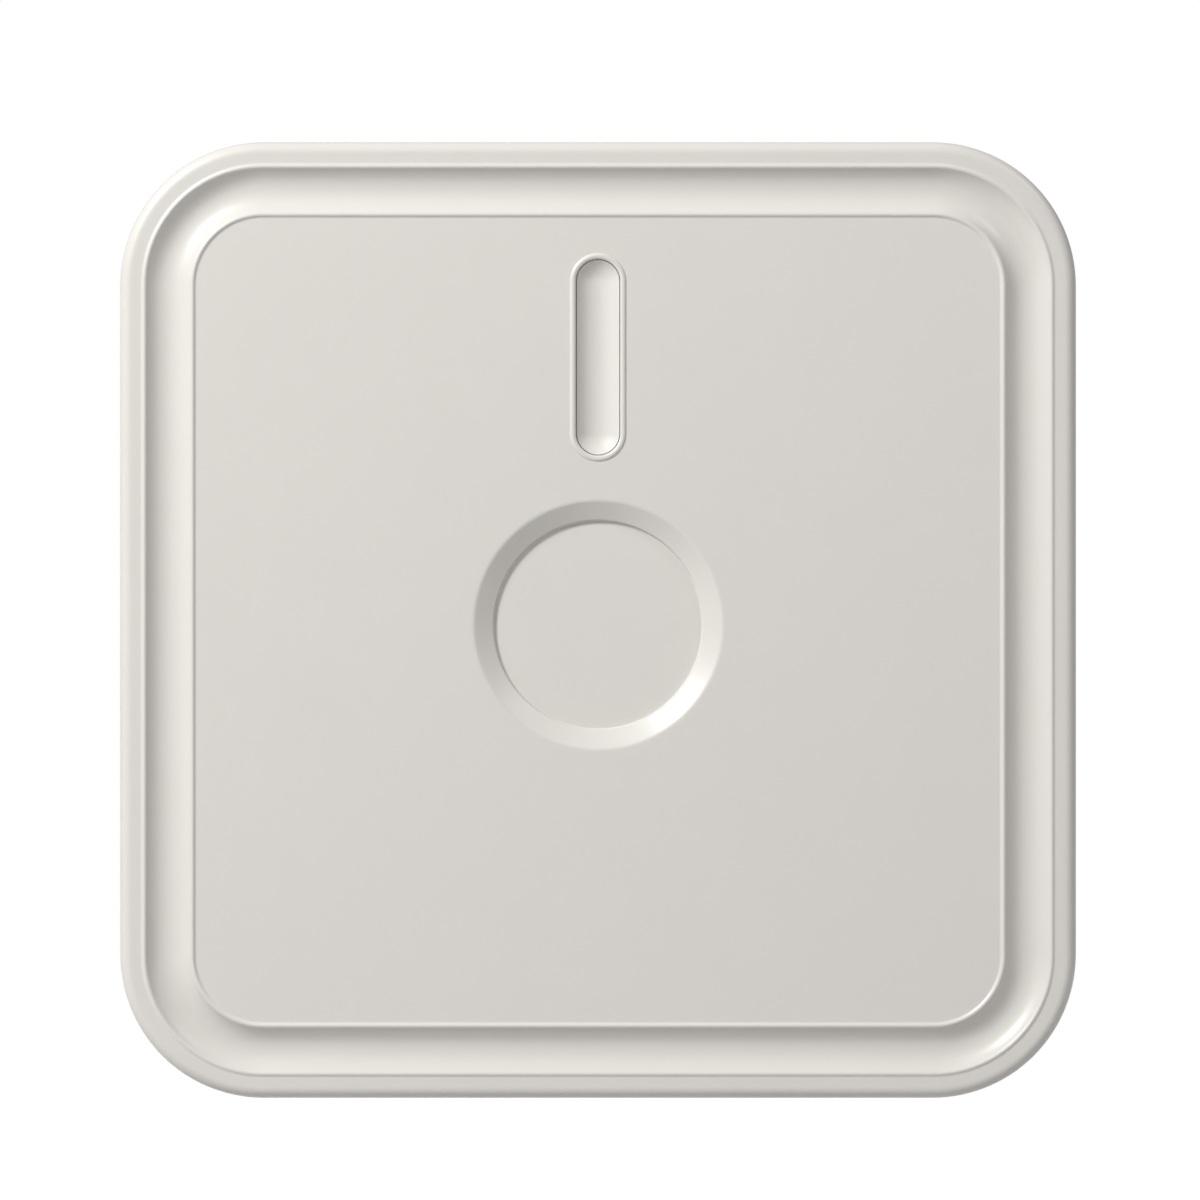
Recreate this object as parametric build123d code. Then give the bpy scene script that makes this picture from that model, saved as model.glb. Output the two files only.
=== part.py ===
from build123d import *
import os
from math import hypot, pi, radians, sqrt, tan

os.makedirs("parts", exist_ok=True)

# Alarm control panel, in millimetres. X runs to the right, Z up, and the front faces -Y.
# The wall plane is y = 0, and the origin is the middle of the panel's back.

# The whole panel
panel_width = 200.0
panel_height = 200.0
panel_depth = 42.0  # wall plane to the crest of the front rim
corner_radius = 30.0  # outer corners, seen from the front

# Clearances
press_gap = 0.02  # round on round, held tight
run_gap = 0.06  # round on round, turning or sliding
seat_gap = 0.2  # loose pieces in their seats
move_gap = 0.4  # moving pieces beside fixed ones
slide_gap = 0.15  # flat sliders in their tracks

# Front cover: a moulded shell of one wall thickness
cover_wall = 2.5
edge_radius = 2.4  # rounded outer edge
land_drop = 0.3  # depth of the land behind the crest
crest_inset = 4.7  # outer foot of the crest bead, in from the side
bead_width = 1.0  # crest bead and lip bead
cove_width = 9.1
cove_depth = 2.1
lip_drop = 0.08  # top of the lip behind the crest
face_drop = 0.5  # flat face behind the crest
inner_edge = 0.8  # chamfer inside the outer edge
section_overlap = 0.6  # the flat face runs this far into the rim
rib_thickness = 1.4
rib_height = 3.0
rib_x = 37.0  # upright ribs, left and right of the middle
rib_below_dish = (13.0, 41.0)  # level ribs, down from the recess's edge
rib_inset = 19.0  # the ribs end this far in from the sides

# Light slot: a raised bead round a dished window
slot_length = 41.0
slot_width = 9.2
slot_from_top = 45.1
slot_bead_width = 1.3
slot_bead_height = 0.35
slot_bead_round = 0.3
lens_sag = 1.85  # depth of the window's trough
lens_flange_width = 3.0
lens_flange_thickness = 1.2
lens_frame_wall = 1.2
lens_frame_height = 2.0

# Round recess in the middle of the face
dish_radius = 26.0
slot_to_dish = 9.4  # from the slot's lower end to the recess's edge
bevel_width = 4.0
bevel_depth = 2.2
dish_step_width = 0.8
dish_step_depth = 0.8

# Top hinge: two pins, each through two ears of the housing and a knuckle of the cover
hinge_x = 58.0
hinge_pin_radius = 1.25
hinge_ear_wall = 1.15
hinge_ear_thickness = 3.0
hinge_knuckle_length = 10.0
hinge_setback = 3.0  # the cover's rear edge behind the pins

# Lock screw at the bottom edge
lock_y = -11.0
lock_shank_radius = 1.45
lock_head_radius = 2.75
lock_head_height = 1.5
lock_washer_radius = 3.1
lock_washer_thickness = 0.5
lock_floor = 1.5  # cover wall under the washer
lock_pad_width = 12.0
lock_insert_radius = 2.2
lock_insert_length = 6.0
lock_boss_wall = 2.0
lock_boss_length = 8.5

# Rear housing
base_floor = 2.5
base_wall = 2.2
base_depth = 16.0
base_gap = 2.0  # between the cover's sides and the housing
base_top_gap = 0.7
floor_rib_height = 1.6
floor_rib_thickness = 1.5
floor_rib_x = 32.0  # upright floor ribs, left and right of the middle
wall_hole_radius = 2.4
wall_sink_radius = 4.6
wall_sink_depth = 2.5
wall_boss_radius = 6.0
wall_boss_height = 5.0
wall_hole_from_side = 12.5
wall_hole_from_bottom = 15.5
wall_hole_from_top = 11.0
knockout_x = 42.0
knockout_width = 16.0
knockout_skin = 0.8

# Screws that hold the boards, the power cover and the cable clamp
pilot_radius = 1.25
pilot_depth = 5.0
screw_hole_radius = 1.7
screw_head_radius = 2.75
screw_head_height = 2.0
screw_length = 6.0
post_radius = 3.4
post_height = 6.0

# Cable entry in the housing's floor, with its rubber grommet
entry_x = 3.0
entry_from_bottom = 33.5
entry_width = 26.0
entry_height = 20.0
entry_corner = 5.0
grommet_flange = 2.0
grommet_rear = 0.8
grommet_front = 1.5
grommet_wall = 2.0

# Cable clamp
clamp_from_entry = 19.0
clamp_post_spacing = 19.0
clamp_post_radius = 2.8
clamp_length = 27.0
clamp_width = 7.0
clamp_thickness = 3.0

# Battery: three cells in a row, in a shrink wrap
cell_radius = 9.1
cell_length = 65.0
cell_tip_radius = 3.0
cell_tip_height = 0.6
cell_count = 3
wrap_thickness = 0.4
end_cap_thickness = 0.8
battery_from_bottom = 3.3
battery_lift = 1.2
battery_from_entry = 3.7  # between the grommet's flange and the battery
bay_wall = 1.5
bay_wall_height = 9.0
bay_stop_width = 8.0
saddle_from_bottom = 14.0
saddle_from_top = 6.0
saddle_thickness = 2.0
strap_from_top = 17.0
strap_width = 14.0
strap_thickness = 1.0
strap_toe = 3.0
strap_hook = 1.5

# Main board
board_thickness = 1.6
board_width = 140.0
board_from_top = 2.8
board_from_battery = 11.4
board_corner = 2.0
board_screw_inset = 4.5
middle_screw_x = 18.0
middle_screw_up = 41.0

# Screw terminals along the board's bottom edge
terminal_pitch = 5.0
terminal_ways = 7
terminal_x = 22.0  # inner end of each block
terminal_deep = 10.0
terminal_high = 10.5
terminal_slope = 2.2
terminal_entry = 3.8
terminal_screw_radius = 1.8
terminal_screw_height = 2.0

# Network socket
jack_width = 16.0
jack_high = 13.3
jack_long = 21.0
jack_mouth_width = 11.9
jack_mouth_high = 8.0
jack_mouth_deep = 15.0
jack_latch_width = 6.0
jack_latch_high = 2.0
jack_base = 1.6  # wall between the mouth and the board

# Plug-in boards: radio on the left, cellular on the right
module_width = 32.0
module_thickness = 1.2
module_from_side = 11.0
module_from_top = 5.0
module_up = 50.0  # from the main board's lower edge to theirs
header_height = 6.0
header_width = 2.5
header_share = 25 / 43  # length, as a share of the plug-in board's height
header_edge = 0.6  # in from its sides
shield_width = 24.0
shield_share = 30 / 43
shield_height = 3.2
shield_wall = 0.4
shield_corner = 1.5
cellular_shield_width = 26.0
cellular_shield_share = 26 / 43

# Sheet metal antennas beside the plug-in boards
antenna_width = 6.0
antenna_height = 8.0
antenna_thickness = 0.5
antenna_from_side = 1.0
antenna_from_top = 10.0
antenna_up = 46.0  # from the main board's lower edge to its foot
antenna_leg_width = 2.0
antenna_leg_up = 6.0

# Card holder
sim_x = 36.0
sim_up = 29.5
sim_length = 20.0
sim_width = 16.0
sim_height = 2.9
sim_wall = 0.8
sim_floor = 0.5
tray_thickness = 1.4
tray_tab = 1.5
card_length = 15.0
card_width = 12.0
card_thickness = 0.76
card_corner = 2.0

# Chips, capacitors and sounder
chip_size = 14.0
chip_x = 17.5
chip_height = 1.2
chip_chamfer = 0.3
memory_length = 8.0
memory_width = 4.5
memory_x = -17.0
memory_pitch = 12.0
can_x = -36.0
can_up = (25.0, 35.0)
can_radius = 4.0
can_height = 9.0
can_groove = 0.4
sounder_x = -54.0
sounder_up = 31.0
sounder_radius = 11.0
sounder_height = 8.0
sounder_hole = 1.6

# Status lights and the shroud that leads them to the window
light_count = 4
light_pitch = 10.0
light_size = 3.0
light_height = 1.3
light_dome = 1.1
light_dome_height = 1.1
shroud_gap = 1.6
shroud_wall = 1.2
shroud_taper = 0.9  # degrees, wider towards the window

# Tamper switch: a lever that the cover's post holds down
tamper_from_side = 9.0
tamper_up = 25.0
tamper_width = 6.0
tamper_length = 14.0
tamper_body = 6.5
tamper_ear = 1.2
tamper_ear_height = 1.6
lever_barrel_radius = 0.7
lever_width = 3.0
lever_length = 14.0
lever_thickness = 0.4
tamper_post_size = 6.0
tamper_post_gap = 0.3
tamper_button_radius = 0.9

# Push buttons
button_x = (-25.5, -16.5)
button_up = 34.0
button_body = 6.0
button_body_height = 3.4
button_radius = 1.7
button_length = 2.8
button_proud = 1.5

# Slide switches
dip_x = -21.5
dip_up = 24.5
dip_width = 11.7
dip_deep = 6.2
dip_height = 3.4
dip_pitch = 2.54
dip_count = 4
dip_slot_length = 3.9
dip_slot_depth = 1.4
dip_knob_width = 1.2
dip_knob_length = 1.8
dip_knob_proud = 0.7

# Mains power unit under its own cover
power_x = 20.0  # left side of its cover
power_from_bottom = 9.3
power_width = 52.0
power_height = 60.0
power_depth = 29.0  # wall plane to the front of its cover
power_wall = 1.6
power_corner = 3.0
power_board_gap = 0.8
power_screw_inset = 3.6
power_screw_drop = 3.2  # the upper screw, down from the board's top edge
power_screw_left = 16.0  # the third screw, from the board's left edge
power_outlet_drop = 6.0  # the lead's outlet, down from the cover's top
lug_radius = 4.0
lug_thickness = 2.0
lug_reach = 4.4
lug_top_x = 40.0  # from the cover's left side
lug_bottom_x = 26.0
vent_count = 7
vent_pitch = 5.0
vent_width = 2.0
vent_length = 22.0
mains_notch_length = 16.0
mains_notch_depth = 10.0
mains_pitch = 7.5
mains_ways = 3
mains_inset = 1.1  # from the board's left edge
mains_up = 2.6  # from its lower edge
mains_mouth = (4.0, 4.5, 6.0)  # wide, high and deep
core_width = 24.0
core_length = 22.0
core_thickness = 7.0
core_leg = 7.0
core_yoke = 4.5
core_side = 3.0
core_inset = 1.6  # from the board's right edge
core_drop = 6.6  # from its top edge
bobbin_height = 15.0
bulk_radius = 6.5
bulk_height = 15.0
bulk_inset = 13.6  # its middle, from the board's left edge
bulk_drop = 3.1  # its side, from the board's top edge
output_can_height = 12.0
output_can_inset = 4.8
output_can_drop = 18.6
film_can = (13.0, 6.0, 11.0)
film_inset = 9.0  # from the board's right edge
film_up = 1.5
fuse_radius = 2.5
fuse_length = 20.0
fuse_cap = 5.0
fuse_inset = 6.0
fuse_up = 15.0
fuse_lift = 1.5  # its tube above the board

# Leads between the power unit, the battery and the main board
lead_radius = 0.9
lead_y = -14.0
lead_inner_x = 14.0
lead_outer_x = 24.0
lead_run = 7.0
plug_width = 8.0
plug_length = 6.4
plug_height = 6.9

# Places that follow from the sizes
half_w = panel_width / 2
half_h = panel_height / 2
face_front = face_drop - panel_depth
face_back = face_front + cover_wall
slot_z = half_h - slot_from_top
dish_z = slot_z - slot_length / 2 - slot_to_dish - dish_radius

ear_radius = hinge_pin_radius + hinge_ear_wall
hinge_drop = ear_radius + move_gap
swing_radius = hypot(hinge_setback, hinge_drop + cover_wall)
hinge_y = -(swing_radius + move_gap)
hinge_z = half_h - cover_wall - hinge_drop
cover_rear = hinge_y + hinge_setback

base_half_w = half_w - cover_wall - base_gap
base_bottom = -(half_h - cover_wall - base_gap)
base_top = hinge_z - hinge_setback - base_top_gap
base_inner_w = base_half_w - base_wall
base_inner_bottom = base_bottom + base_wall
base_inner_top = base_top - base_wall
floor_y = -base_floor

entry_z = base_bottom + entry_from_bottom
clamp_z = entry_z + clamp_from_entry

wrap_radius = cell_radius + press_gap + wrap_thickness
cell_row = cell_radius * (cell_count - 1)
pack_half = cell_row + wrap_radius
pack_x = entry_x - entry_width / 2 - grommet_flange - battery_from_entry - pack_half
pack_y = floor_y - battery_lift - wrap_radius
pack_length = cell_length + 2 * end_cap_thickness
pack_bottom = base_inner_bottom + battery_from_bottom
pack_top = pack_bottom + pack_length
strap_z = pack_top - strap_from_top

board_back = floor_y - post_height
board_front = board_back - board_thickness
board_top = base_inner_top - board_from_top
board_bottom = pack_top + board_from_battery
board_half = board_width / 2
module_back = board_front - header_height
module_front = module_back - module_thickness
module_x = board_half - module_from_side - module_width / 2
module_height = board_top - board_bottom - module_up - module_from_top
module_z = board_top - module_from_top - module_height / 2

screw_x = board_half - board_screw_inset
board_screw_places = [
    (-screw_x, board_top - board_screw_inset),
    (screw_x, board_top - board_screw_inset),
    (-screw_x, board_bottom + board_screw_inset),
    (screw_x, board_bottom + board_screw_inset),
    (middle_screw_x, board_bottom + middle_screw_up),
]

power_bottom = base_inner_bottom + power_from_bottom
power_top = power_bottom + power_height
power_right = power_x + power_width
power_mid_x = power_x + power_width / 2
power_mid_z = power_bottom + power_height / 2
power_front = -power_depth
power_inner_x = power_x + power_wall + power_board_gap
power_inner_right = power_right - power_wall - power_board_gap
power_inner_bottom = power_bottom + power_wall + power_board_gap
power_inner_top = power_top - power_wall - power_board_gap
power_screw_places = [
    (power_inner_right - power_screw_inset, power_inner_top - power_screw_drop),
    (power_inner_right - power_screw_inset, power_inner_bottom + power_screw_inset),
    (power_inner_x + power_screw_left, power_inner_bottom + power_screw_inset),
]
lug_y = board_back + lug_thickness
lug_places = [
    (power_x + lug_top_x, power_top + lug_reach),
    (power_x + lug_bottom_x, power_bottom - lug_reach),
]

tamper_x = board_half - tamper_from_side
tamper_z = board_bottom + tamper_up
tamper_front = board_front - tamper_body
lever_y = tamper_front - lever_barrel_radius - 0.1
lever_z = tamper_z + 1.4
lever_front = lever_y - lever_barrel_radius

shroud_front = face_back + lens_flange_thickness + shroud_gap
shroud_half_w = slot_width / 2 + shroud_wall + 1.2
shroud_half_h = slot_length / 2 + 1.0


# Plain solids in the panel's own directions


def drawn(sketch, y_back, y_front):
    """A shape drawn in X and Z, solid from y_back forwards to y_front."""
    return extrude(Plane.XZ.offset(-y_back) * sketch, amount=y_back - y_front)


def drawn_x(sketch, x0, x1):
    """A shape drawn in Y and Z, solid from x0 to x1."""
    return extrude(Plane.YZ.offset(x0) * sketch, amount=x1 - x0)


def drawn_z(sketch, z0, z1):
    """A shape drawn in X and Y, solid from z0 to z1."""
    return extrude(Plane.XY.offset(z0) * sketch, amount=z1 - z0)


def block(x0, x1, y0, y1, z0, z1):
    """A rectangular block between two corners."""
    return Pos((x0 + x1) / 2, (y0 + y1) / 2, (z0 + z1) / 2) * Box(abs(x1 - x0), abs(y1 - y0), abs(z1 - z0))


def rod(x, z, radius, y_back, y_front):
    """A round rod along Y."""
    return drawn(Pos(x, z) * Circle(radius), y_back, y_front)


def upright_slot(length, width):
    """A slot with round ends, standing upright."""
    return Rot(0, 0, 90) * SlotOverall(length, width)


def save(shape, node):
    """Write one piece, or one group of like pieces, under its node's name."""
    export_step(shape, f"parts/{node}.step")


def group(pieces):
    """Like pieces that share a node and stay separate solids."""
    return Compound(children=[solid for piece in pieces for solid in piece.solids()])


# Front cover


def rim_section():
    """The cover's edge cut through at its right side, from the side wall to the flat face."""

    def at(inset, drop):
        return (half_w - inset, drop - panel_depth)

    side_top = land_drop + edge_radius
    edge_mid = 1 - sqrt(0.5)
    crest_end = crest_inset + bead_width
    cove_mid = crest_end + cove_width / 2
    cove_end = crest_end + cove_width
    lip_end = cove_end + bead_width
    section_end = lip_end + 2 * section_overlap
    inner_drop = face_drop + cover_wall
    cove_bottom = land_drop + cove_depth
    cove_radius = ((cove_width / 2) ** 2 + cove_depth**2) / (2 * cove_depth)
    inner_radius = cove_radius + cover_wall
    inner_bottom = cove_bottom + cover_wall
    inner_half = sqrt(inner_radius**2 - (inner_radius - inner_bottom + inner_drop) ** 2)
    inner_flat = inner_half / 2
    inner_corner = cover_wall + inner_edge
    rear_drop = panel_depth + cover_rear
    return make_face(
        [
            Line(at(0, rear_drop), at(0, side_top)),
            ThreePointArc(
                at(0, side_top),
                at(edge_radius * edge_mid, land_drop + edge_radius * edge_mid),
                at(edge_radius, land_drop),
            ),
            Line(at(edge_radius, land_drop), at(crest_inset, land_drop)),
            ThreePointArc(
                at(crest_inset, land_drop),
                at(crest_inset + bead_width / 2, 0),
                at(crest_end, land_drop),
            ),
            ThreePointArc(at(crest_end, land_drop), at(cove_mid, cove_bottom), at(cove_end, land_drop)),
            ThreePointArc(
                at(cove_end, land_drop),
                at(cove_end + bead_width / 2, lip_drop),
                at(lip_end, face_drop),
            ),
            Line(at(lip_end, face_drop), at(section_end, face_drop)),
            Line(at(section_end, face_drop), at(section_end, inner_drop)),
            Line(at(section_end, inner_drop), at(cove_mid + inner_half, inner_drop)),
            Line(at(cove_mid + inner_half, inner_drop), at(cove_mid + inner_flat, inner_bottom)),
            Line(at(cove_mid + inner_flat, inner_bottom), at(cove_mid - inner_flat, inner_bottom)),
            Line(at(cove_mid - inner_flat, inner_bottom), at(cove_mid - inner_half, inner_drop)),
            Line(at(cove_mid - inner_half, inner_drop), at(inner_corner, inner_drop)),
            Line(at(inner_corner, inner_drop), at(cover_wall, inner_drop + inner_edge)),
            Line(at(cover_wall, inner_drop + inner_edge), at(cover_wall, rear_drop)),
            Line(at(cover_wall, rear_drop), at(0, rear_drop)),
        ]
    )


def cover_rim():
    """The section run along the four sides and turned round the four corners."""
    side_run = half_h - corner_radius
    top_run = half_w - corner_radius
    section = rim_section()
    turn = Axis((top_run, 0, side_run), (0, -1, 0))
    side = extrude(section, amount=side_run, dir=(0, 0, 1))
    raised = Pos(0, 0, side_run) * section
    corner = revolve(raised, axis=turn, revolution_arc=90)
    top = extrude(raised.rotate(turn, 90), amount=top_run, dir=(-1, 0, 0))
    quarter = side + corner + top
    half = quarter + mirror(quarter, Plane.YZ)
    return half + mirror(half, Plane.XY)


def flat_face():
    """The flat plate inside the rim."""
    lip_end = crest_inset + 2 * bead_width + cove_width
    inset = lip_end + section_overlap
    outline = RectangleRounded(2 * (half_w - inset), 2 * (half_h - inset), corner_radius - inset)
    return drawn(outline, face_back, face_front)


def dish_profile(extra):
    """Half of the round recess, as radius and y. extra is the thickness of wall behind it."""
    slope = hypot(bevel_width, bevel_depth)
    out = extra * bevel_depth / slope
    back = extra * bevel_width / slope
    foot = dish_radius - bevel_width
    floor = foot - dish_step_width
    rim_y = face_front + extra
    start = dish_radius + out + (back - extra) * bevel_width / bevel_depth
    foot_y = face_front + bevel_depth + back
    floor_y_here = face_front + bevel_depth + dish_step_depth + extra
    front_y = rim_y - 1
    points = [
        (0, front_y),
        (start, front_y),
        (start, rim_y),
        (foot + out, foot_y),
        (floor + out, floor_y_here),
        (0, floor_y_here),
    ]
    return make_face([Polyline(*points, close=True)])


def turned_dish(extra):
    """The recess's profile turned about its middle."""
    return Pos(0, 0, dish_z) * revolve(dish_profile(extra), axis=Axis.Y)


def slot_bead():
    """The raised bead round the light slot."""
    length = slot_length + 2 * slot_bead_width
    width = slot_width + 2 * slot_bead_width
    outline = Pos(0, slot_z) * upright_slot(length, width)
    bead = drawn(outline, face_front + 0.2, face_front - slot_bead_height)
    bead -= slot_hole()
    front = bead.faces().sort_by(Axis.Y)[0]
    return fillet(front.edges(), slot_bead_round)


def slot_hole():
    """The opening that the window fills."""
    return drawn(Pos(0, slot_z) * upright_slot(slot_length, slot_width), face_back + 1, face_front - 2)


def lens_flange(gap):
    """Outline of the window's flange, with a gap round it."""
    length = slot_length + 2 * (lens_flange_width + gap)
    width = slot_width + 2 * (lens_flange_width + gap)
    return Pos(0, slot_z) * upright_slot(length, width)


def lens_frame():
    """The rib behind the face that the window's flange sits in."""
    outer = lens_flange(seat_gap + lens_frame_wall)
    inner = lens_flange(seat_gap)
    return drawn(outer - inner, face_back + lens_frame_height, face_back)


def cover_ribs():
    """Upright and level ribs behind the flat face."""
    back = face_back + rib_height
    reach_w = half_w - rib_inset
    reach_h = half_h - rib_inset
    half = rib_thickness / 2
    ribs = [block(x - half, x + half, face_back, back, -reach_h, reach_h) for x in (-rib_x, rib_x)]
    frame_foot = slot_z - slot_length / 2 - lens_flange_width - seat_gap - lens_frame_wall
    levels = [(dish_z + dish_radius + frame_foot) / 2]
    levels += [dish_z - dish_radius - down for down in rib_below_dish]
    ribs += [block(-reach_w, reach_w, face_back, back, z - half, z + half) for z in levels]
    return ribs


def tamper_post():
    """The crossed post that holds the tamper lever down while the cover is shut."""
    z = lever_z + lever_length - 2.0
    half = tamper_post_size / 2
    web = rib_thickness / 2
    tip = lever_front - tamper_post_gap
    return [
        block(tamper_x - half, tamper_x + half, face_back, tip, z - web, z + web),
        block(tamper_x - web, tamper_x + web, face_back, tip, z - half, z + half),
    ]


def hinge_knuckle(x):
    """A round knuckle inside the cover's top edge, on a web from the wall above it."""
    half = hinge_knuckle_length / 2
    wall_z = half_h - cover_wall
    knuckle = drawn_x(Pos(hinge_y, hinge_z) * Circle(ear_radius), x - half, x + half)
    web = block(x - half, x + half, hinge_y - ear_radius, hinge_y + ear_radius, hinge_z, wall_z + 0.5)
    return [knuckle, web]


def lock_roof():
    """Height of the face that the lock screw's washer bears on."""
    return -half_h + lock_head_height + lock_washer_thickness + 0.1


def lock_channel(width, z0, z1):
    """A channel with a round end, open at the cover's rear edge."""
    radius = width / 2
    outline = Pos(0, lock_y) * Circle(radius)
    outline += Pos(0, (lock_y + cover_rear + 1) / 2) * Rectangle(width, cover_rear + 1 - lock_y)
    return drawn_z(outline, z0, z1)


def front_cover():
    """The whole cover: rim, face, bead, recess, ribs, post, knuckles and the screw's channel."""
    cover = cover_rim() + flat_face()
    cover += turned_dish(cover_wall)
    cover -= turned_dish(0)
    cover -= slot_hole()
    cover += slot_bead()
    pad_front = lock_y - lock_washer_radius - 2.5
    roof = lock_roof()
    half_pad = lock_pad_width / 2
    inside = [lens_frame()] + cover_ribs() + tamper_post()
    inside += hinge_knuckle(-hinge_x) + hinge_knuckle(hinge_x)
    pad_bottom = cover_wall - half_h - 0.5
    inside.append(block(-half_pad, half_pad, pad_front, cover_rear, pad_bottom, roof + lock_floor))
    cover += inside
    channel = 2 * (lock_washer_radius + move_gap)
    slot = 2 * (lock_shank_radius + move_gap)
    cuts = [
        lock_channel(channel, -half_h - 1, roof),
        lock_channel(slot, roof - 1, roof + lock_floor + 1),
    ]
    bore = Pos(hinge_y, hinge_z) * Circle(hinge_pin_radius + run_gap)
    reach = hinge_knuckle_length / 2 + 1
    cuts += [drawn_x(bore, x - reach, x + reach) for x in (-hinge_x, hinge_x)]
    return cover - cuts


def light_lens():
    """The milky window: a dished body in the slot, and a flange behind the face."""
    body = upright_slot(slot_length - 2 * slide_gap, slot_width - 2 * slide_gap)
    lens = drawn(Pos(0, slot_z) * body, face_back, face_front)
    lens += drawn(lens_flange(0), face_back + lens_flange_thickness, face_back)
    half = slot_width / 2 - slide_gap
    radius = (half**2 + lens_sag**2) / (2 * lens_sag)
    middle_y = face_front + lens_sag - radius
    reach = slot_length / 2 - slot_width / 2
    scoop = drawn_z(Pos(0, middle_y) * Circle(radius), slot_z - reach, slot_z + reach)
    ends = [Pos(0, middle_y, slot_z + side * reach) * Sphere(radius) for side in (-1, 1)]
    return lens - [scoop] - ends


# Rear housing


def base_outline(inset):
    """The housing seen from the front. Its top corners start level with the cover's."""
    middle = (base_top + base_bottom) / 2
    width = 2 * (base_half_w - inset)
    height = base_top - base_bottom - 2 * inset
    outline = Pos(0, middle) * Rectangle(width, height)
    top = outline.vertices().sort_by(Axis.Y)[-2:]
    outline = fillet(top, base_top - (half_h - corner_radius) - inset)
    bottom = outline.vertices().sort_by(Axis.Y)[:2]
    return fillet(bottom, corner_radius - cover_wall - base_gap - inset)


def base_ears():
    """Two ears at each hinge, standing on the top wall."""
    leg_bottom = base_top - base_wall
    outline = Pos(hinge_y, hinge_z) * Circle(ear_radius)
    outline += Pos(hinge_y, (leg_bottom + hinge_z) / 2) * Rectangle(2 * ear_radius, hinge_z - leg_bottom)
    outline -= Pos(hinge_y, hinge_z) * Circle(hinge_pin_radius + press_gap)
    start = hinge_knuckle_length / 2 + move_gap
    end = start + hinge_ear_thickness
    ears = []
    for x in (-hinge_x, hinge_x):
        ears.append(drawn_x(outline, x + start, x + end))
        ears.append(drawn_x(outline, x - end, x - start))
    return ears


def wall_holes():
    """The four places where the housing is screwed to the wall."""
    x = base_half_w - wall_hole_from_side
    low = base_bottom + wall_hole_from_bottom
    high = base_top - wall_hole_from_top
    return [(-x, low), (x, low), (-x, high), (x, high)]


def bay_walls():
    """Low walls and stops that hold the battery, with gaps for its strap."""
    left = pack_x - pack_half - seat_gap
    right = pack_x + pack_half + seat_gap
    top = floor_y - bay_wall_height
    strap_half = strap_width / 2 + 1.0
    low = (pack_bottom + 10.0, strap_z - strap_half)
    high = (strap_z + strap_half, pack_top - 3.0)
    walls = []
    for z0, z1 in (low, high):
        walls.append(block(left - bay_wall, left, floor_y, top, z0, z1))
        walls.append(block(right, right + bay_wall, floor_y, top, z0, z1))
    half = bay_stop_width / 2
    low_stop = pack_bottom - seat_gap
    high_stop = pack_top + seat_gap
    for x in (pack_x - cell_row, pack_x):
        walls.append(block(x - half, x + half, floor_y, top, low_stop - bay_wall, low_stop))
        walls.append(block(x - half, x + half, floor_y, top, high_stop, high_stop + bay_wall))
    return walls


def battery_saddles():
    """Two cross ribs under the battery, hollowed to its round sides."""
    outline = Pos(pack_x, pack_y) * SlotOverall(2 * (pack_half + seat_gap), 2 * (wrap_radius + 0.1))
    hollow = drawn_z(outline, pack_bottom, pack_top)
    reach = pack_half - 2.0
    depth = floor_y - battery_lift - 3.5
    saddles = []
    half = saddle_thickness / 2
    for z in (pack_bottom + saddle_from_bottom, pack_top - saddle_from_top):
        saddles.append(block(pack_x - reach, pack_x + reach, floor_y, depth, z - half, z + half) - hollow)
    return saddles


def strap_hooks():
    """Hooks on the floor that catch the battery strap's toes."""
    toe_end = pack_half + seat_gap + strap_thickness + strap_toe + seat_gap
    toe_top = floor_y - strap_thickness - move_gap
    z0 = strap_z - strap_width / 2 + 2
    z1 = strap_z + strap_width / 2 - 2
    hooks = []
    for side in (-1, 1):
        out = pack_x + side * (toe_end + strap_hook)
        wall = pack_x + side * toe_end
        lip = pack_x + side * (toe_end - strap_hook)
        hooks.append(block(wall, out, floor_y, toe_top - 1.2, z0, z1))
        hooks.append(block(lip, wall, toe_top, toe_top - 1.2, z0, z1))
    return hooks


def clamp_places():
    """Middles of the two posts under the cable clamp."""
    return [(entry_x - clamp_post_spacing / 2, clamp_z), (entry_x + clamp_post_spacing / 2, clamp_z)]


def lock_boss():
    """The boss inside the bottom wall that holds the threaded insert."""
    radius = lock_insert_radius + lock_boss_wall
    boss = drawn_z(Pos(0, lock_y) * Circle(radius), base_bottom + 0.5, base_bottom + lock_boss_length)
    web = block(-1.2, 1.2, floor_y, lock_y, base_bottom + 0.5, base_bottom + lock_boss_length)
    return [boss, web]


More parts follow.
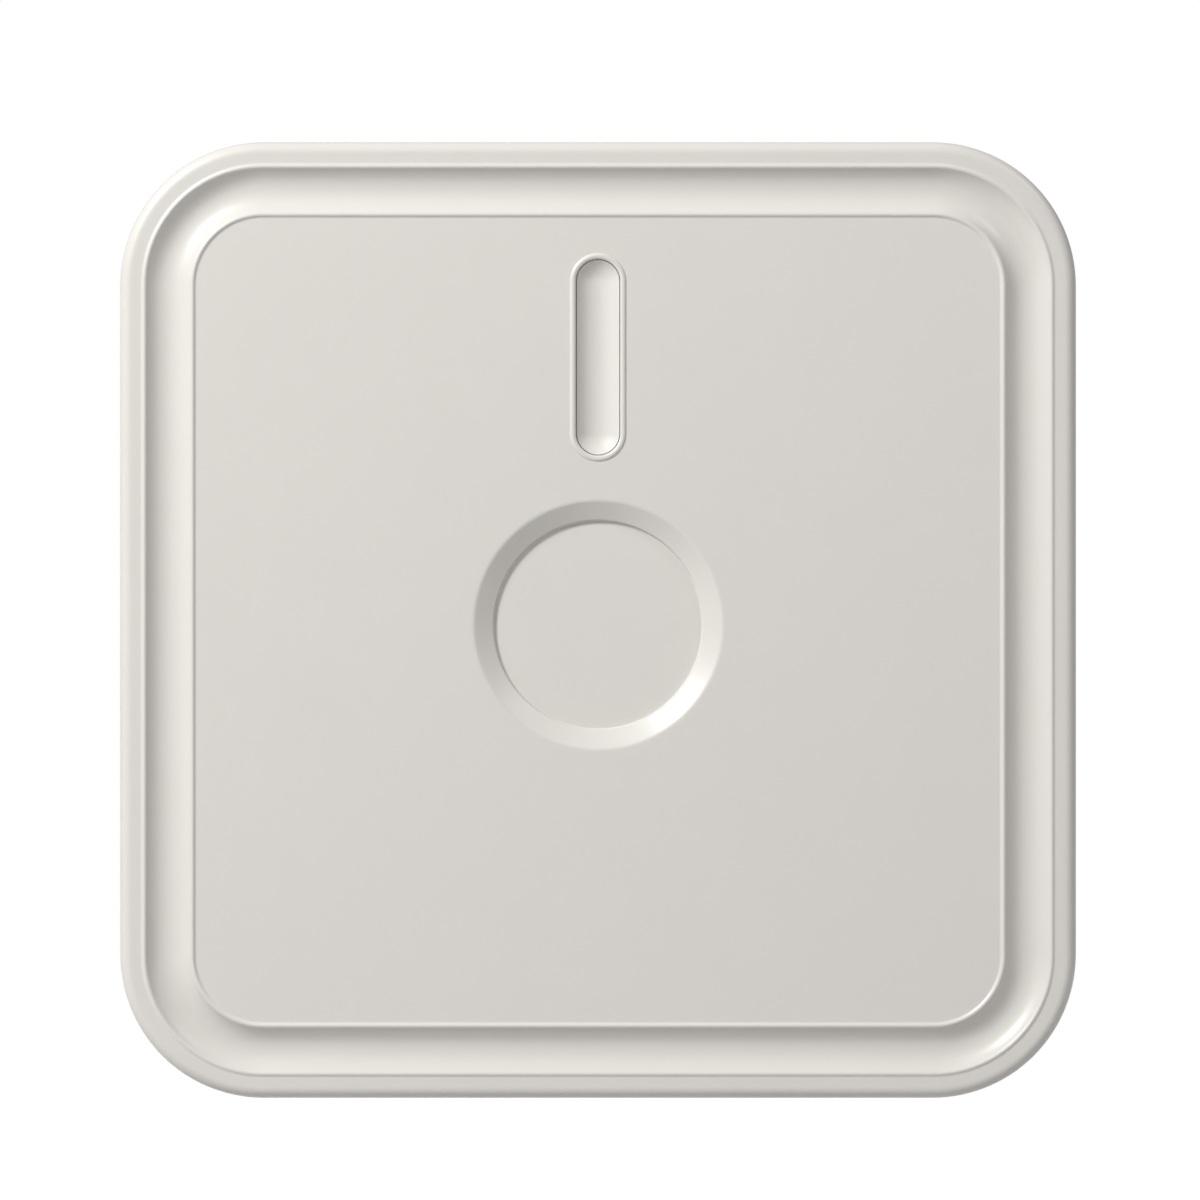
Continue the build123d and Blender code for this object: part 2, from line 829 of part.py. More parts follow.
def rear_housing():
    """The tray that is screwed to the wall, with everything moulded on it."""
    housing = drawn(base_outline(0), 0, -base_depth)
    housing -= drawn(base_outline(base_wall), floor_y, -base_depth - 1)
    rib_top = floor_y - floor_rib_height
    half = floor_rib_thickness / 2
    added = base_ears() + bay_walls() + battery_saddles() + strap_hooks() + lock_boss()
    level = board_bottom + 8
    upper = board_top - 12
    edge = base_inner_w
    for z in (level, (level + upper) / 2, upper):
        added.append(block(-edge, edge, floor_y, rib_top, z - half, z + half))
    for x in (-floor_rib_x, floor_rib_x):
        added.append(block(x - half, x + half, floor_y, rib_top, level, base_inner_top))
    for x, z in wall_holes():
        added.append(rod(x, z, wall_boss_radius, floor_y, floor_y - wall_boss_height))
    for x, z in board_screw_places + power_screw_places:
        added.append(rod(x, z, post_radius, floor_y, board_back))
    for x, z in lug_places:
        added.append(rod(x, z, post_radius, floor_y, lug_y))
    for x, z in clamp_places():
        added.append(rod(x, z, clamp_post_radius, floor_y, board_back))
    housing += added

    cuts = []
    for x, z in wall_holes():
        cuts.append(rod(x, z, wall_hole_radius, 1, -base_depth))
        sink = floor_y - wall_boss_height + wall_sink_depth
        cuts.append(rod(x, z, wall_sink_radius, sink, sink - 5))
    for x, z in board_screw_places + power_screw_places + clamp_places():
        cuts.append(rod(x, z, pilot_radius, board_back + pilot_depth, board_back - 1))
    for x, z in lug_places:
        cuts.append(rod(x, z, pilot_radius, lug_y + pilot_depth - 1.5, lug_y - 1))
    hole = RectangleRounded(entry_width, entry_height, entry_corner)
    wide = 2 * (grommet_flange + seat_gap)
    rebate = RectangleRounded(entry_width + wide, entry_height + wide, entry_corner + wide / 2)
    cuts.append(drawn(Pos(entry_x, entry_z) * hole, 1, -base_depth))
    cuts.append(drawn(Pos(entry_x, entry_z) * rebate, 1, -grommet_rear))
    insert_z = base_bottom + lock_insert_length
    cuts.append(drawn_z(Pos(0, lock_y) * Circle(lock_insert_radius), base_bottom - 1, insert_z))
    bore = Pos(0, lock_y) * Circle(lock_shank_radius + seat_gap)
    cuts.append(drawn_z(bore, insert_z - 1, base_bottom + lock_boss_length + 1))
    skin = base_bottom + knockout_skin
    half = knockout_width / 2
    for x in (-knockout_x, knockout_x):
        cuts.append(block(x - half, x + half, -base_depth + 2, floor_y - 1, skin, base_inner_bottom + 1))
    return housing - cuts


def cable_grommet():
    """The rubber edging of the cable entry: a neck in the floor between two flanges."""
    wide = 2 * grommet_flange
    neck = RectangleRounded(entry_width, entry_height, entry_corner)
    flange = RectangleRounded(entry_width + wide, entry_height + wide, entry_corner + grommet_flange)
    thin = 2 * grommet_wall
    opening = RectangleRounded(entry_width - thin, entry_height - thin, entry_corner - 1)
    place = Pos(entry_x, entry_z)
    front = floor_y - grommet_front
    grommet = drawn(place * neck, 0, front)
    grommet += [drawn(place * flange, 0, -grommet_rear), drawn(place * flange, floor_y, front)]
    grommet -= drawn(place * opening, 1, front - 1)
    return grommet


# Fasteners and hinge pins


def pan_screw(x, z, seat_y, length):
    """A screw into the housing, its head on the face at seat_y."""
    shank = rod(x, z, pilot_radius - press_gap, seat_y + length, seat_y)
    return shank + rod(x, z, screw_head_radius, seat_y, seat_y - screw_head_height)


def hinge_pins():
    """Two plain steel pins."""
    reach = hinge_knuckle_length / 2 + move_gap + hinge_ear_thickness
    place = Pos(hinge_y, hinge_z) * Circle(hinge_pin_radius)
    return group([drawn_x(place, x - reach, x + reach) for x in (-hinge_x, hinge_x)])


def lock_screw():
    """The cover's screw: a low head, and a shank up into the insert."""
    seat = -half_h + lock_head_height
    head = drawn_z(Pos(0, lock_y) * Circle(lock_head_radius), -half_h, seat)
    shank_end = base_bottom + lock_boss_length - 0.8
    return head + drawn_z(Pos(0, lock_y) * Circle(lock_shank_radius), seat, shank_end)


def lock_washer():
    """The washer that stays on the lock screw."""
    bottom = -half_h + lock_head_height
    ring = Pos(0, lock_y) * (Circle(lock_washer_radius) - Circle(lock_shank_radius + run_gap))
    return drawn_z(ring, bottom, bottom + lock_washer_thickness)


def lock_insert():
    """The threaded brass insert, with two knurled bands."""
    bore = Circle(lock_shank_radius + run_gap)
    grip = lock_insert_length / 3
    outer = Circle(lock_insert_radius)
    waist = Circle(lock_insert_radius - 0.3)
    z = base_bottom
    insert = drawn_z(Pos(0, lock_y) * (outer - bore), z, z + grip)
    insert += drawn_z(Pos(0, lock_y) * (waist - bore), z + grip, z + 2 * grip)
    insert += drawn_z(Pos(0, lock_y) * (outer - bore), z + 2 * grip, z + 3 * grip)
    return insert


# Main board and what stands on it


def main_board():
    """The board, with its screw holes."""
    middle = (board_top + board_bottom) / 2
    outline = Pos(0, middle) * RectangleRounded(board_width, board_top - board_bottom, board_corner)
    board = drawn(outline, board_back, board_front)
    return board - [rod(x, z, screw_hole_radius, 0, board_front - 1) for x, z in board_screw_places]


def terminal_block(x0):
    """A row of screw terminals, sloped at its top, with a wire mouth below each screw."""
    front = board_front
    z = board_bottom
    shoulder = front - terminal_high * 0.66
    points = [
        (front, z),
        (shoulder, z),
        (front - terminal_high, z + terminal_slope),
        (front - terminal_high, z + terminal_deep - terminal_slope),
        (shoulder, z + terminal_deep),
        (front, z + terminal_deep),
    ]
    length = terminal_pitch * terminal_ways
    body = drawn_x(make_face([Polyline(*points, close=True)]), x0, x0 + length)
    half = terminal_entry / 2
    screw_seat = front - terminal_high + terminal_screw_height + 0.5
    cuts = []
    for way in range(terminal_ways):
        x = x0 + terminal_pitch * (way + 0.5)
        cuts.append(block(x - half, x + half, front - 1.4, front - 1.4 - terminal_entry, z - 1, z + 6.5))
        hole = terminal_screw_radius + press_gap
        cuts.append(rod(x, z + terminal_deep / 2, hole, screw_seat, screw_seat - 5))
    return body - cuts


def terminal_screws():
    """The slotted screws of both terminal rows."""
    seat = board_front - terminal_high + terminal_screw_height + 0.5
    front = seat - terminal_screw_height
    z = board_bottom + terminal_deep / 2
    screws = []
    for x0 in (-terminal_x - terminal_pitch * terminal_ways, terminal_x):
        for way in range(terminal_ways):
            x = x0 + terminal_pitch * (way + 0.5)
            screw = rod(x, z, terminal_screw_radius, seat, front)
            screws.append(screw - block(x - 2, x + 2, front + 0.8, front - 1, z - 0.3, z + 0.3))
    return group(screws)


def ethernet_jack():
    """The shielded network socket, its mouth towards the wiring space below."""
    half = jack_width / 2
    z = board_bottom
    front = board_front - jack_high
    body = block(-half, half, board_front, front, z, z + jack_long)
    mouth = jack_mouth_width / 2
    deep = z + jack_mouth_deep
    back = board_front - jack_base
    latch = jack_latch_width / 2
    latch_front = back - jack_mouth_high - jack_latch_high
    cuts = [
        block(-mouth, mouth, back, back - jack_mouth_high, z - 1, deep),
        block(-latch, latch, back - jack_mouth_high + 1, latch_front, z - 1, deep),
    ]
    return body - cuts


def module_headers(side):
    """The two pin headers that carry a plug-in board."""
    out = module_width / 2 - header_width / 2 - header_edge
    half = header_share * module_height / 2
    strips = []
    for x in (side * module_x - out, side * module_x + out):
        x0 = x - header_width / 2
        x1 = x + header_width / 2
        strips.append(block(x0, x1, board_front, module_back, module_z - half, module_z + half))
    return group(strips)


def module_board(side):
    """A plug-in board."""
    outline = Pos(side * module_x, module_z) * RectangleRounded(module_width, module_height, 1.0)
    return drawn(outline, module_back, module_front)


def shield_can(side, width, share):
    """A drawn sheet-metal can, open towards the board that it stands on."""
    x = side * module_x
    length = share * module_height
    front = module_front - shield_height
    can = drawn(Pos(x, module_z) * RectangleRounded(width, length, shield_corner), module_front, front)
    thin = 2 * shield_wall
    inside = RectangleRounded(width - thin, length - thin, shield_corner - shield_wall)
    return can - drawn(Pos(x, module_z) * inside, module_front + 1, front + shield_wall)


def board_antenna(side):
    """A bent strip of sheet metal on three legs, with one notch along its inner edge."""
    outer = side * (board_half - antenna_from_side)
    inner = outer - side * antenna_width
    z1 = board_top - antenna_from_top
    z0 = board_bottom + antenna_up
    notch_length = (z1 - z0) / 3
    front = board_front - antenna_height
    strip = block(inner, outer, front + antenna_thickness, front, z0, z1)
    legs = [
        block(inner, outer, board_front, front, z0, z0 + antenna_thickness),
        block(
            inner,
            inner + side * antenna_leg_width,
            board_front,
            front,
            z0 + antenna_leg_up,
            z0 + antenna_leg_up + antenna_thickness,
        ),
        block(inner, outer, board_front, front, z1 - antenna_thickness, z1),
    ]
    notch_depth = 0.4 * antenna_width
    notch_low = z1 - notch_length
    notch_top = z1 - notch_length / 2
    notch = block(inner - side, inner + side * notch_depth, front + 2, front - 1, notch_low, notch_top)
    return strip + legs - notch


def sim_place():
    """Middle of the card holder in Z, and its two faces in Y."""
    return board_bottom + sim_up, board_front, board_front - sim_height


def sim_holder():
    """The card holder: a flat case, open at its left end, with a window in its front."""
    z, back, front = sim_place()
    half = sim_width / 2
    x0 = sim_x - sim_length / 2
    x1 = sim_x + sim_length / 2
    case = block(x0, x1, back, front, z - half, z + half)
    hollow = half - sim_wall
    cavity = block(x0 - 1, x1 - sim_wall, back - sim_floor, front + sim_floor, z - hollow, z + hollow)
    window = block(x0 + 4, x1 - 5, front - 1, front + 1, z - half * 0.6, z + half * 0.6)
    return case - [cavity, window]


def tray_back():
    """Rear face of the card tray."""
    return board_front - sim_floor - 0.1


def sim_tray():
    """The tray, with a pocket for the card and a lip to pull it by."""
    z = sim_place()[0]
    half = sim_width / 2 - sim_wall - slide_gap
    x0 = sim_x - sim_length / 2 - tray_tab
    x1 = sim_x + sim_length / 2 - sim_wall - seat_gap - 0.4
    back = tray_back()
    front = back - tray_thickness
    tray = block(x0, x1, back, front, z - half, z + half)
    tray += block(x0, x0 + tray_tab - 0.3, back, front - 0.9, z - half, z + half)
    card_x0 = x1 - 1.3 - card_length - 2 * slide_gap
    card_half = card_width / 2 + slide_gap
    pocket_back = back - tray_thickness + card_thickness + 0.24
    pocket = block(card_x0, x1 - 1.3, pocket_back, front - 1, z - card_half, z + card_half)
    return tray - pocket


def sim_card():
    """The card in the tray, with its one cut corner."""
    z = sim_place()[0]
    x1 = sim_x + sim_length / 2 - sim_wall - seat_gap - 0.4 - 1.3 - slide_gap
    x0 = x1 - card_length
    half = card_width / 2
    points = [
        (x0, z - half),
        (x1, z - half),
        (x1, z + half - card_corner),
        (x1 - card_corner, z + half),
        (x0, z + half),
    ]
    back = tray_back() - tray_thickness + card_thickness + 0.24
    return drawn(make_face([Polyline(*points, close=True)]), back, back - card_thickness)


def chip(x, z, width, length):
    """A flat chip."""
    return block(
        x - width / 2, x + width / 2, board_front, board_front - chip_height, z - length / 2, z + length / 2
    )


def processor():
    """The processor, with a chamfered front edge."""
    body = chip(chip_x, module_z, chip_size, chip_size)
    return chamfer(body.faces().sort_by(Axis.Y)[0].edges(), chip_chamfer)


def memory_chips():
    """Two small chips, one above the other, on the other side of the lights."""
    half = memory_pitch / 2
    return group([chip(memory_x, module_z + up, memory_length, memory_width) for up in (-half, half)])


def can_capacitor(x, z, radius, height):
    """A capacitor can, with the rolled groove near its foot."""
    foot = 1.6
    points = [
        (0, 0),
        (radius, 0),
        (radius, -foot),
        (radius - can_groove, -foot - can_groove),
        (radius, -foot - 2 * can_groove),
        (radius, -height + 0.5),
        (radius - 0.5, -height),
        (0, -height),
    ]
    profile = make_face([Polyline(*points, close=True)])
    return Pos(x, board_front, z) * revolve(profile, axis=Axis.Y)


def board_capacitors():
    """Two capacitors on the main board."""
    return group([can_capacitor(can_x, board_bottom + up, can_radius, can_height) for up in can_up])


def sounder():
    """The round sounder, with a raised ring and its sound hole."""
    z = board_bottom + sounder_up
    front = board_front - sounder_height
    body = rod(sounder_x, z, sounder_radius, board_front, front + 0.6)
    body += rod(sounder_x, z, sounder_radius - 1.2, front + 0.6, front)
    return body - rod(sounder_x, z, sounder_hole, front + 2.5, front - 1)


def light_heights():
    """Heights of the status lights, centred on the slot."""
    start = slot_z - light_pitch * (light_count - 1) / 2
    return [start + light_pitch * number for number in range(light_count)]


def status_leds():
    """The status lights: small square bodies with round lenses."""
    half = light_size / 2
    lights = []
    for z in light_heights():
        front = board_front - light_height
        body = block(-half, half, board_front, front, z - half, z + half)
        lights.append(body + rod(0, z, light_dome, front, front - light_dome_height))
    return group(lights)


def light_shroud():
    """A tall tapered box, with a chamber for each light, that stops light spreading sideways."""
    depth = board_front - shroud_front
    outline = Pos(0, slot_z) * Rectangle(2 * shroud_half_w, 2 * shroud_half_h)
    shroud = extrude(Plane.XZ.offset(-board_front) * outline, amount=depth, taper=-shroud_taper)
    edges = [z + light_pitch / 2 for z in light_heights()[:-1]]
    starts = [slot_z - shroud_half_h] + [z - shroud_wall / 2 for z in edges]
    ends = [z + shroud_wall / 2 for z in edges] + [slot_z + shroud_half_h]
    inner = shroud_half_w - shroud_wall
    chambers = []
    bottoms = [starts[0] + shroud_wall] + ends[:-1]
    tops = starts[1:] + [ends[-1] - shroud_wall]
    for z0, z1 in zip(bottoms, tops):
        chambers.append(block(-inner, inner, board_front + 1, shroud_front - 1, z0, z1))
    return shroud - chambers


def tamper_switch():
    """The switch body, with two ears for its lever and the small button below it."""
    half = tamper_width / 2
    z0 = tamper_z
    body = block(tamper_x - half, tamper_x + half, board_front, tamper_front, z0, z0 + tamper_length)
    ear_front = tamper_front - tamper_ear_height
    ear_top = lever_z + 1.6
    ears = [
        block(tamper_x - half, tamper_x - half + tamper_ear, tamper_front, ear_front, z0, ear_top),
        block(tamper_x + half - tamper_ear, tamper_x + half, tamper_front, ear_front, z0, ear_top),
    ]
    button_front = lever_y - lever_barrel_radius + lever_thickness + tamper_post_gap
    button = rod(tamper_x, lever_z + 4.5, tamper_button_radius, tamper_front, button_front)
    bore = drawn_x(
        Pos(lever_y, lever_z) * Circle(lever_barrel_radius + run_gap), tamper_x - half, tamper_x + half
    )
    return body + ears + button - bore


def tamper_lever():
    """The lever: a flat strip on a barrel that turns in the switch's ears."""
    reach = tamper_width / 2 - 0.2
    barrel = drawn_x(Pos(lever_y, lever_z) * Circle(lever_barrel_radius), tamper_x - reach, tamper_x + reach)
    half = lever_width / 2
    strip = block(
        tamper_x - half,
        tamper_x + half,
        lever_front + lever_thickness,
        lever_front,
        lever_z,
        lever_z + lever_length,
    )
    return barrel + strip


def button_bodies():
    """The square bodies of both push buttons."""
    z = board_bottom + button_up
    half = button_body / 2
    front = board_front - button_body_height
    bodies = []
    for x in button_x:
        body = block(x - half, x + half, board_front, front, z - half, z + half)
        bodies.append(body - rod(x, z, button_radius + run_gap, front + 2.0, front - 1))
    return group(bodies)


def push_button(x):
    """The round plunger of a push button."""
    z = board_bottom + button_up
    tip = board_front - button_body_height - button_proud
    return rod(x, z, button_radius, tip + button_length, tip)


def dip_slot_places():
    """Middles of the slide switches' slots."""
    first = dip_x - dip_pitch * (dip_count - 1) / 2
    return [first + dip_pitch * number for number in range(dip_count)]


def dip_switch_body():
    """The body of the slide switches, with a slot for each slider."""
    z = board_bottom + dip_up
    half = dip_width / 2
    deep = dip_deep / 2
    front = board_front - dip_height
    body = block(dip_x - half, dip_x + half, board_front, front, z - deep, z + deep)
    wide = dip_knob_width / 2 + slide_gap
    long = dip_slot_length / 2
    slots = []
    for x in dip_slot_places():
        slots.append(block(x - wide, x + wide, front + dip_slot_depth, front - 1, z - long, z + long))
    return body - slots


def dip_slider(x):
    """One slider, at the lower end of its slot."""
    z0 = board_bottom + dip_up - dip_slot_length / 2 + slide_gap
    half = dip_knob_width / 2
    front = board_front - dip_height
    return block(
        x - half, x + half, front + dip_slot_depth - 0.1, front - dip_knob_proud, z0, z0 + dip_knob_length
    )


# Battery


def cell_places():
    """Middles of the cells in X."""
    return [pack_x + 2 * cell_radius * (number - (cell_count - 1) / 2) for number in range(cell_count)]


def battery_cells():
    """The cells, each with its raised tip at the top."""
    bottom = pack_bottom + end_cap_thickness
    top = bottom + cell_length
    cells = []
    for x in cell_places():
        can = drawn_z(Pos(x, pack_y) * Circle(cell_radius - press_gap), bottom, top - cell_tip_height)
        tip = drawn_z(Pos(x, pack_y) * Circle(cell_tip_radius), top - cell_tip_height, top)
        cells.append(can + tip)
    return group(cells)


def pack_outline(grow):
    """The battery's outline seen from above."""
    radius = cell_radius + press_gap + grow
    return Pos(pack_x, pack_y) * SlotOverall(2 * (cell_row + radius), 2 * radius)


def battery_end_caps():
    """Insulating plates over both ends of the cells."""
    plate = pack_outline(-press_gap)
    low = drawn_z(plate, pack_bottom, pack_bottom + end_cap_thickness)
    high = drawn_z(plate, pack_top - end_cap_thickness, pack_top)
    return group([low, high])


def battery_wrap():
    """The shrink wrap round the cells."""
    return drawn_z(pack_outline(wrap_thickness) - pack_outline(0), pack_bottom, pack_top)


def battery_strap():
    """A springy band over the battery, with a toe at each foot."""
    inner = pack_outline(wrap_thickness + seat_gap)
    outer = pack_outline(wrap_thickness + seat_gap + strap_thickness)
    inner_half = pack_half + seat_gap
    outer_half = inner_half + strap_thickness
    leg_middle = (pack_y + floor_y) / 2
    leg_height = floor_y - pack_y
    full = Pos(pack_x, leg_middle) * Rectangle(2 * outer_half, leg_height)
    hollow = Pos(pack_x, leg_middle) * Rectangle(2 * inner_half, leg_height)
    band = outer + full - inner - hollow
    toe_y = floor_y - strap_thickness / 2
    for side in (-1, 1):
        toe_x = pack_x + side * (outer_half + strap_toe / 2)
        band += Pos(toe_x, toe_y) * Rectangle(strap_toe, strap_thickness)
    half = strap_width / 2
    return drawn_z(band, strap_z - half, strap_z + half)


def plug_bottom():
    """Height of the leads' plugs on the main board, where the leads enter them."""
    return pack_top + 2 * lead_run + (lead_outer_x - lead_inner_x)


def board_plug(side):
    """A lead's plug in its header on the main board."""
    x = side * lead_inner_x
    half = plug_width / 2
    z = plug_bottom()
    plug = block(x - half, x + half, board_front, board_front - plug_height, z, z + plug_length)
    return chamfer(plug.faces().sort_by(Axis.Y)[0].edges().group_by(Axis.Z)[-1], 0.8)


def lead(start_z, side, name):
    """A round lead from below, across to the middle and up into its plug."""
    outer = side * lead_outer_x
    inner = side * lead_inner_x
    corner = pack_top + lead_run
    points = [
        (outer, lead_y, start_z),
        (outer, lead_y, corner),
        (inner, lead_y, corner + lead_outer_x - lead_inner_x),
        (inner, lead_y, plug_bottom()),
    ]
    runs = [(Vector(*b) - Vector(*a)).length for a, b in zip(points, points[1:])]
    radii = []
    for before, after in zip(runs, runs[1:]):
        radii.append(0.45 * min(before, after) / tan(radians(45) / 2))
    path = FilletPolyline(*points, radius=radii)
    profile = Plane(origin=points[0], z_dir=(0, 0, 1)) * Circle(lead_radius)
    tube = sweep(profile, path=path)
    print(name, "radii", [round(r, 2) for r in radii], "length", round(path.length, 2))
    expected = pi * lead_radius**2 * path.length
    print(name, "volume against section times length", round(tube.volume / expected, 5))
    return tube


# Power unit


def power_board():
    """The power unit's board."""
    width = power_inner_right - power_inner_x
    height = power_inner_top - power_inner_bottom
    outline = Pos(power_mid_x, power_mid_z) * RectangleRounded(width, height, 1.0)
    board = drawn(outline, board_back, board_front)
    return board - [rod(x, z, screw_hole_radius, 0, board_front - 1) for x, z in power_screw_places]


def core_place():
    """Middle of the transformer."""
    x = power_inner_right - core_width / 2 - core_inset
    return x, power_inner_top - core_length / 2 - core_drop


def transformer_core():
    """The ferrite core: a frame with a middle leg."""
    x, z = core_place()
    frame = Pos(x, z) * Rectangle(core_width, core_length)
    window_w = (core_width - core_leg) / 2 - core_side
    window_h = core_length - 2 * core_yoke
    out = core_leg / 2 + window_w / 2
    for side in (-1, 1):
        frame -= Pos(x + side * out, z) * Rectangle(window_w, window_h)
    back = board_front - (bobbin_height - core_thickness) / 2
    return drawn(frame, back, back - core_thickness)


def transformer_bobbin():
    """The wound bobbin round the core's middle leg."""
    x, z = core_place()
    half_w_here = core_width / 2 - core_side - seat_gap
    half_h_here = core_length / 2 - core_yoke - seat_gap
    front = board_front - bobbin_height
    body = block(x - half_w_here, x + half_w_here, board_front, front, z - half_h_here, z + half_h_here)
    leg = core_leg / 2 + seat_gap / 2
    back = board_front - (bobbin_height - core_thickness) / 2 + seat_gap / 2
    hole = block(x - leg, x + leg, back, back - core_thickness - seat_gap, z - core_length, z + core_length)
    return body - hole


def power_capacitors():
    """The large reservoir can, the smaller output can and the box-shaped filter capacitor."""
    bulk_z = power_inner_top - bulk_radius - bulk_drop
    bulk = can_capacitor(power_inner_x + bulk_inset, bulk_z, bulk_radius, bulk_height)
    output_z = power_inner_top - output_can_drop
    output = can_capacitor(power_inner_x + output_can_inset, output_z, can_radius, output_can_height)
    width, length, height = film_can
    x = power_inner_right - width / 2 - film_inset
    z = power_inner_bottom + length / 2 + film_up
    film = block(
        x - width / 2, x + width / 2, board_front, board_front - height, z - length / 2, z + length / 2
    )
    return group([bulk, output, film])


def fuse():
    """The fuse: a tube with two caps, each in its clip."""
    x = power_inner_right - fuse_length / 2 - fuse_inset
    z = power_inner_bottom + fuse_up
    y = board_front - fuse_radius - fuse_lift
    tube = drawn_x(Pos(y, z) * Circle(fuse_radius), x - fuse_length / 2, x + fuse_length / 2)
    for side in (-1, 1):
        end = x + side * fuse_length / 2
        start = end - side * fuse_cap
        low = min(start, end)
        tube += drawn_x(Pos(y, z) * Circle(fuse_radius + 0.3), low, low + fuse_cap)
        tube += block(low + 1, low + fuse_cap - 1, board_front, y, z - fuse_radius, z + fuse_radius)
    return tube


def mains_terminal():
    """The mains terminals, their mouths towards the notch in the power unit's cover."""
    x0 = power_inner_x + mains_inset
    x1 = x0 + terminal_deep
    length = mains_pitch * mains_ways
    z0 = power_inner_bottom + mains_up
    mouth_wide, mouth_high, mouth_deep = mains_mouth
    mouth_back = board_front - 2.0
    front = board_front - terminal_high - 1.5
    body = block(x0, x1, board_front, front, z0, z0 + length)
    body = chamfer(body.faces().sort_by(Axis.Y)[0].edges().group_by(Axis.X)[0], 2.0)
    cuts = []
    for way in range(mains_ways):
        z = z0 + mains_pitch * (way + 0.5)
        half = mouth_wide / 2
        cuts.append(block(x0 - 1, x0 + mouth_deep, mouth_back, mouth_back - mouth_high, z - half, z + half))
        cuts.append(rod((x0 + x1) / 2 + 1, z, 2.0, front + 1.5, front - 1))
    return body - cuts


def power_cover():
    """The shell over the mains parts, with vents, a wire notch and two screw lugs."""
    place = Pos(power_mid_x, power_mid_z)
    shell = drawn(place * RectangleRounded(power_width, power_height, power_corner), floor_y, power_front)
    shell = chamfer(shell.faces().sort_by(Axis.Y)[0].edges(), power_wall / 2)
    thin = 2 * power_wall
    inside = RectangleRounded(power_width - thin, power_height - thin, power_corner - power_wall)
    added = []
    for x, z in lug_places:
        inward = -1 if z > power_mid_z else 1
        edge = power_top if z > power_mid_z else power_bottom
        outline = Pos(x, z) * Circle(lug_radius)
        outline += Pos(x, (z + edge + inward * power_wall / 2) / 2) * Rectangle(
            2 * lug_radius, abs(edge + inward * power_wall / 2 - z)
        )
        added.append(drawn(outline, lug_y, lug_y - lug_thickness))
    shell += added
    cuts = [drawn(place * inside, floor_y + 1, power_front + power_wall)]
    for x, z in lug_places:
        cuts.append(rod(x, z, screw_hole_radius, 0, lug_y - lug_thickness - 1))
    first = power_mid_z - vent_pitch * (vent_count - 1) / 2
    for number in range(vent_count):
        slot = SlotOverall(vent_length, vent_width)
        vent = Pos(power_mid_x + 6, first + vent_pitch * number) * slot
        cuts.append(drawn(vent, power_front + power_wall + 1, power_front - 1))
    notch_z = power_inner_bottom + mains_up + mains_pitch * mains_ways / 2
    notch_half = mains_notch_length / 2
    notch_back = board_front - 1.5
    cuts.append(
        block(
            power_x - 1,
            power_x + power_wall + 0.5,
            notch_back,
            notch_back - mains_notch_depth,
            notch_z - notch_half,
            notch_z + notch_half,
        )
    )
    lead_hole = Pos(lead_outer_x, lead_y) * Circle(lead_radius + seat_gap)
    cuts.append(drawn_z(lead_hole, power_top - power_wall - 1, power_top + 1))
    return shell - cuts


def power_screws():
    """The screws of the power board and of its cover's lugs."""
    screws = [pan_screw(x, z, board_front, screw_length) for x, z in power_screw_places]
    screws += [pan_screw(x, z, lug_y - lug_thickness, screw_length - 1) for x, z in lug_places]
    return group(screws)


def power_outlet_z():
    """Where the power lead leaves the power board's own plug."""
    return power_top - power_outlet_drop


def power_connector():
    """The power lead's two plugs, one on each board."""
    z = power_outlet_z()
    x0 = power_inner_x + 0.4
    low = block(x0, x0 + 5.4, board_front, board_front - plug_height, z - plug_length, z)
    return group([board_plug(1), low])


# Cable clamp


def cable_clamp():
    """The bar that presses the cables down between its two posts."""
    half = clamp_length / 2
    back = board_back
    front = back - clamp_thickness
    half_high = clamp_width / 2
    bar = block(entry_x - half, entry_x + half, back, front, clamp_z - half_high, clamp_z + half_high)
    bar = fillet(bar.edges().filter_by(Axis.Y), 2.0)
    bar = chamfer(bar.faces().sort_by(Axis.Y)[0].edges().filter_by(Axis.X), 0.8)
    return bar - [rod(x, z, screw_hole_radius, 0, front - 1) for x, z in clamp_places()]


def cable_clamp_screws():
    """The clamp's two screws."""
    seat = board_back - clamp_thickness
    return group([pan_screw(x, z, seat, screw_length + 1) for x, z in clamp_places()])


save(front_cover(), "front_cover")
save(light_lens(), "light_lens")
save(rear_housing(), "rear_housing")
save(cable_grommet(), "cable_grommet")
save(hinge_pins(), "hinge_pins")
save(lock_screw(), "lock_screw")
save(lock_washer(), "lock_washer")
save(lock_insert(), "lock_insert")

save(main_board(), "main_board")
save(group([pan_screw(x, z, board_front, screw_length) for x, z in board_screw_places]), "board_screws")
save(terminal_block(-terminal_x - terminal_pitch * terminal_ways), "zone_terminals")
save(terminal_block(terminal_x), "output_terminals")
save(terminal_screws(), "terminal_screws")
save(ethernet_jack(), "ethernet_jack")
save(module_headers(-1), "radio_header")
save(module_board(-1), "radio_board")
save(shield_can(-1, shield_width, shield_share), "radio_shield")
save(board_antenna(-1), "radio_antenna")
save(module_headers(1), "cellular_header")
save(module_board(1), "cellular_board")
save(shield_can(1, cellular_shield_width, cellular_shield_share), "cellular_shield")
save(board_antenna(1), "cellular_antenna")
save(sim_holder(), "sim_holder")
save(sim_tray(), "sim_tray")
save(sim_card(), "sim_card")
save(processor(), "processor")
save(memory_chips(), "memory_chips")
save(board_capacitors(), "board_capacitors")
save(sounder(), "sounder")
save(status_leds(), "status_leds")
save(light_shroud(), "light_shroud")
save(tamper_switch(), "tamper_switch")
save(tamper_lever(), "tamper_lever")
save(button_bodies(), "button_bodies")
save(push_button(button_x[0]), "reset_button")
save(push_button(button_x[1]), "enrol_button")
save(dip_switch_body(), "dip_switch_body")
for number, x in enumerate(dip_slot_places(), start=1):
    save(dip_slider(x), f"dip_slider_{number}")

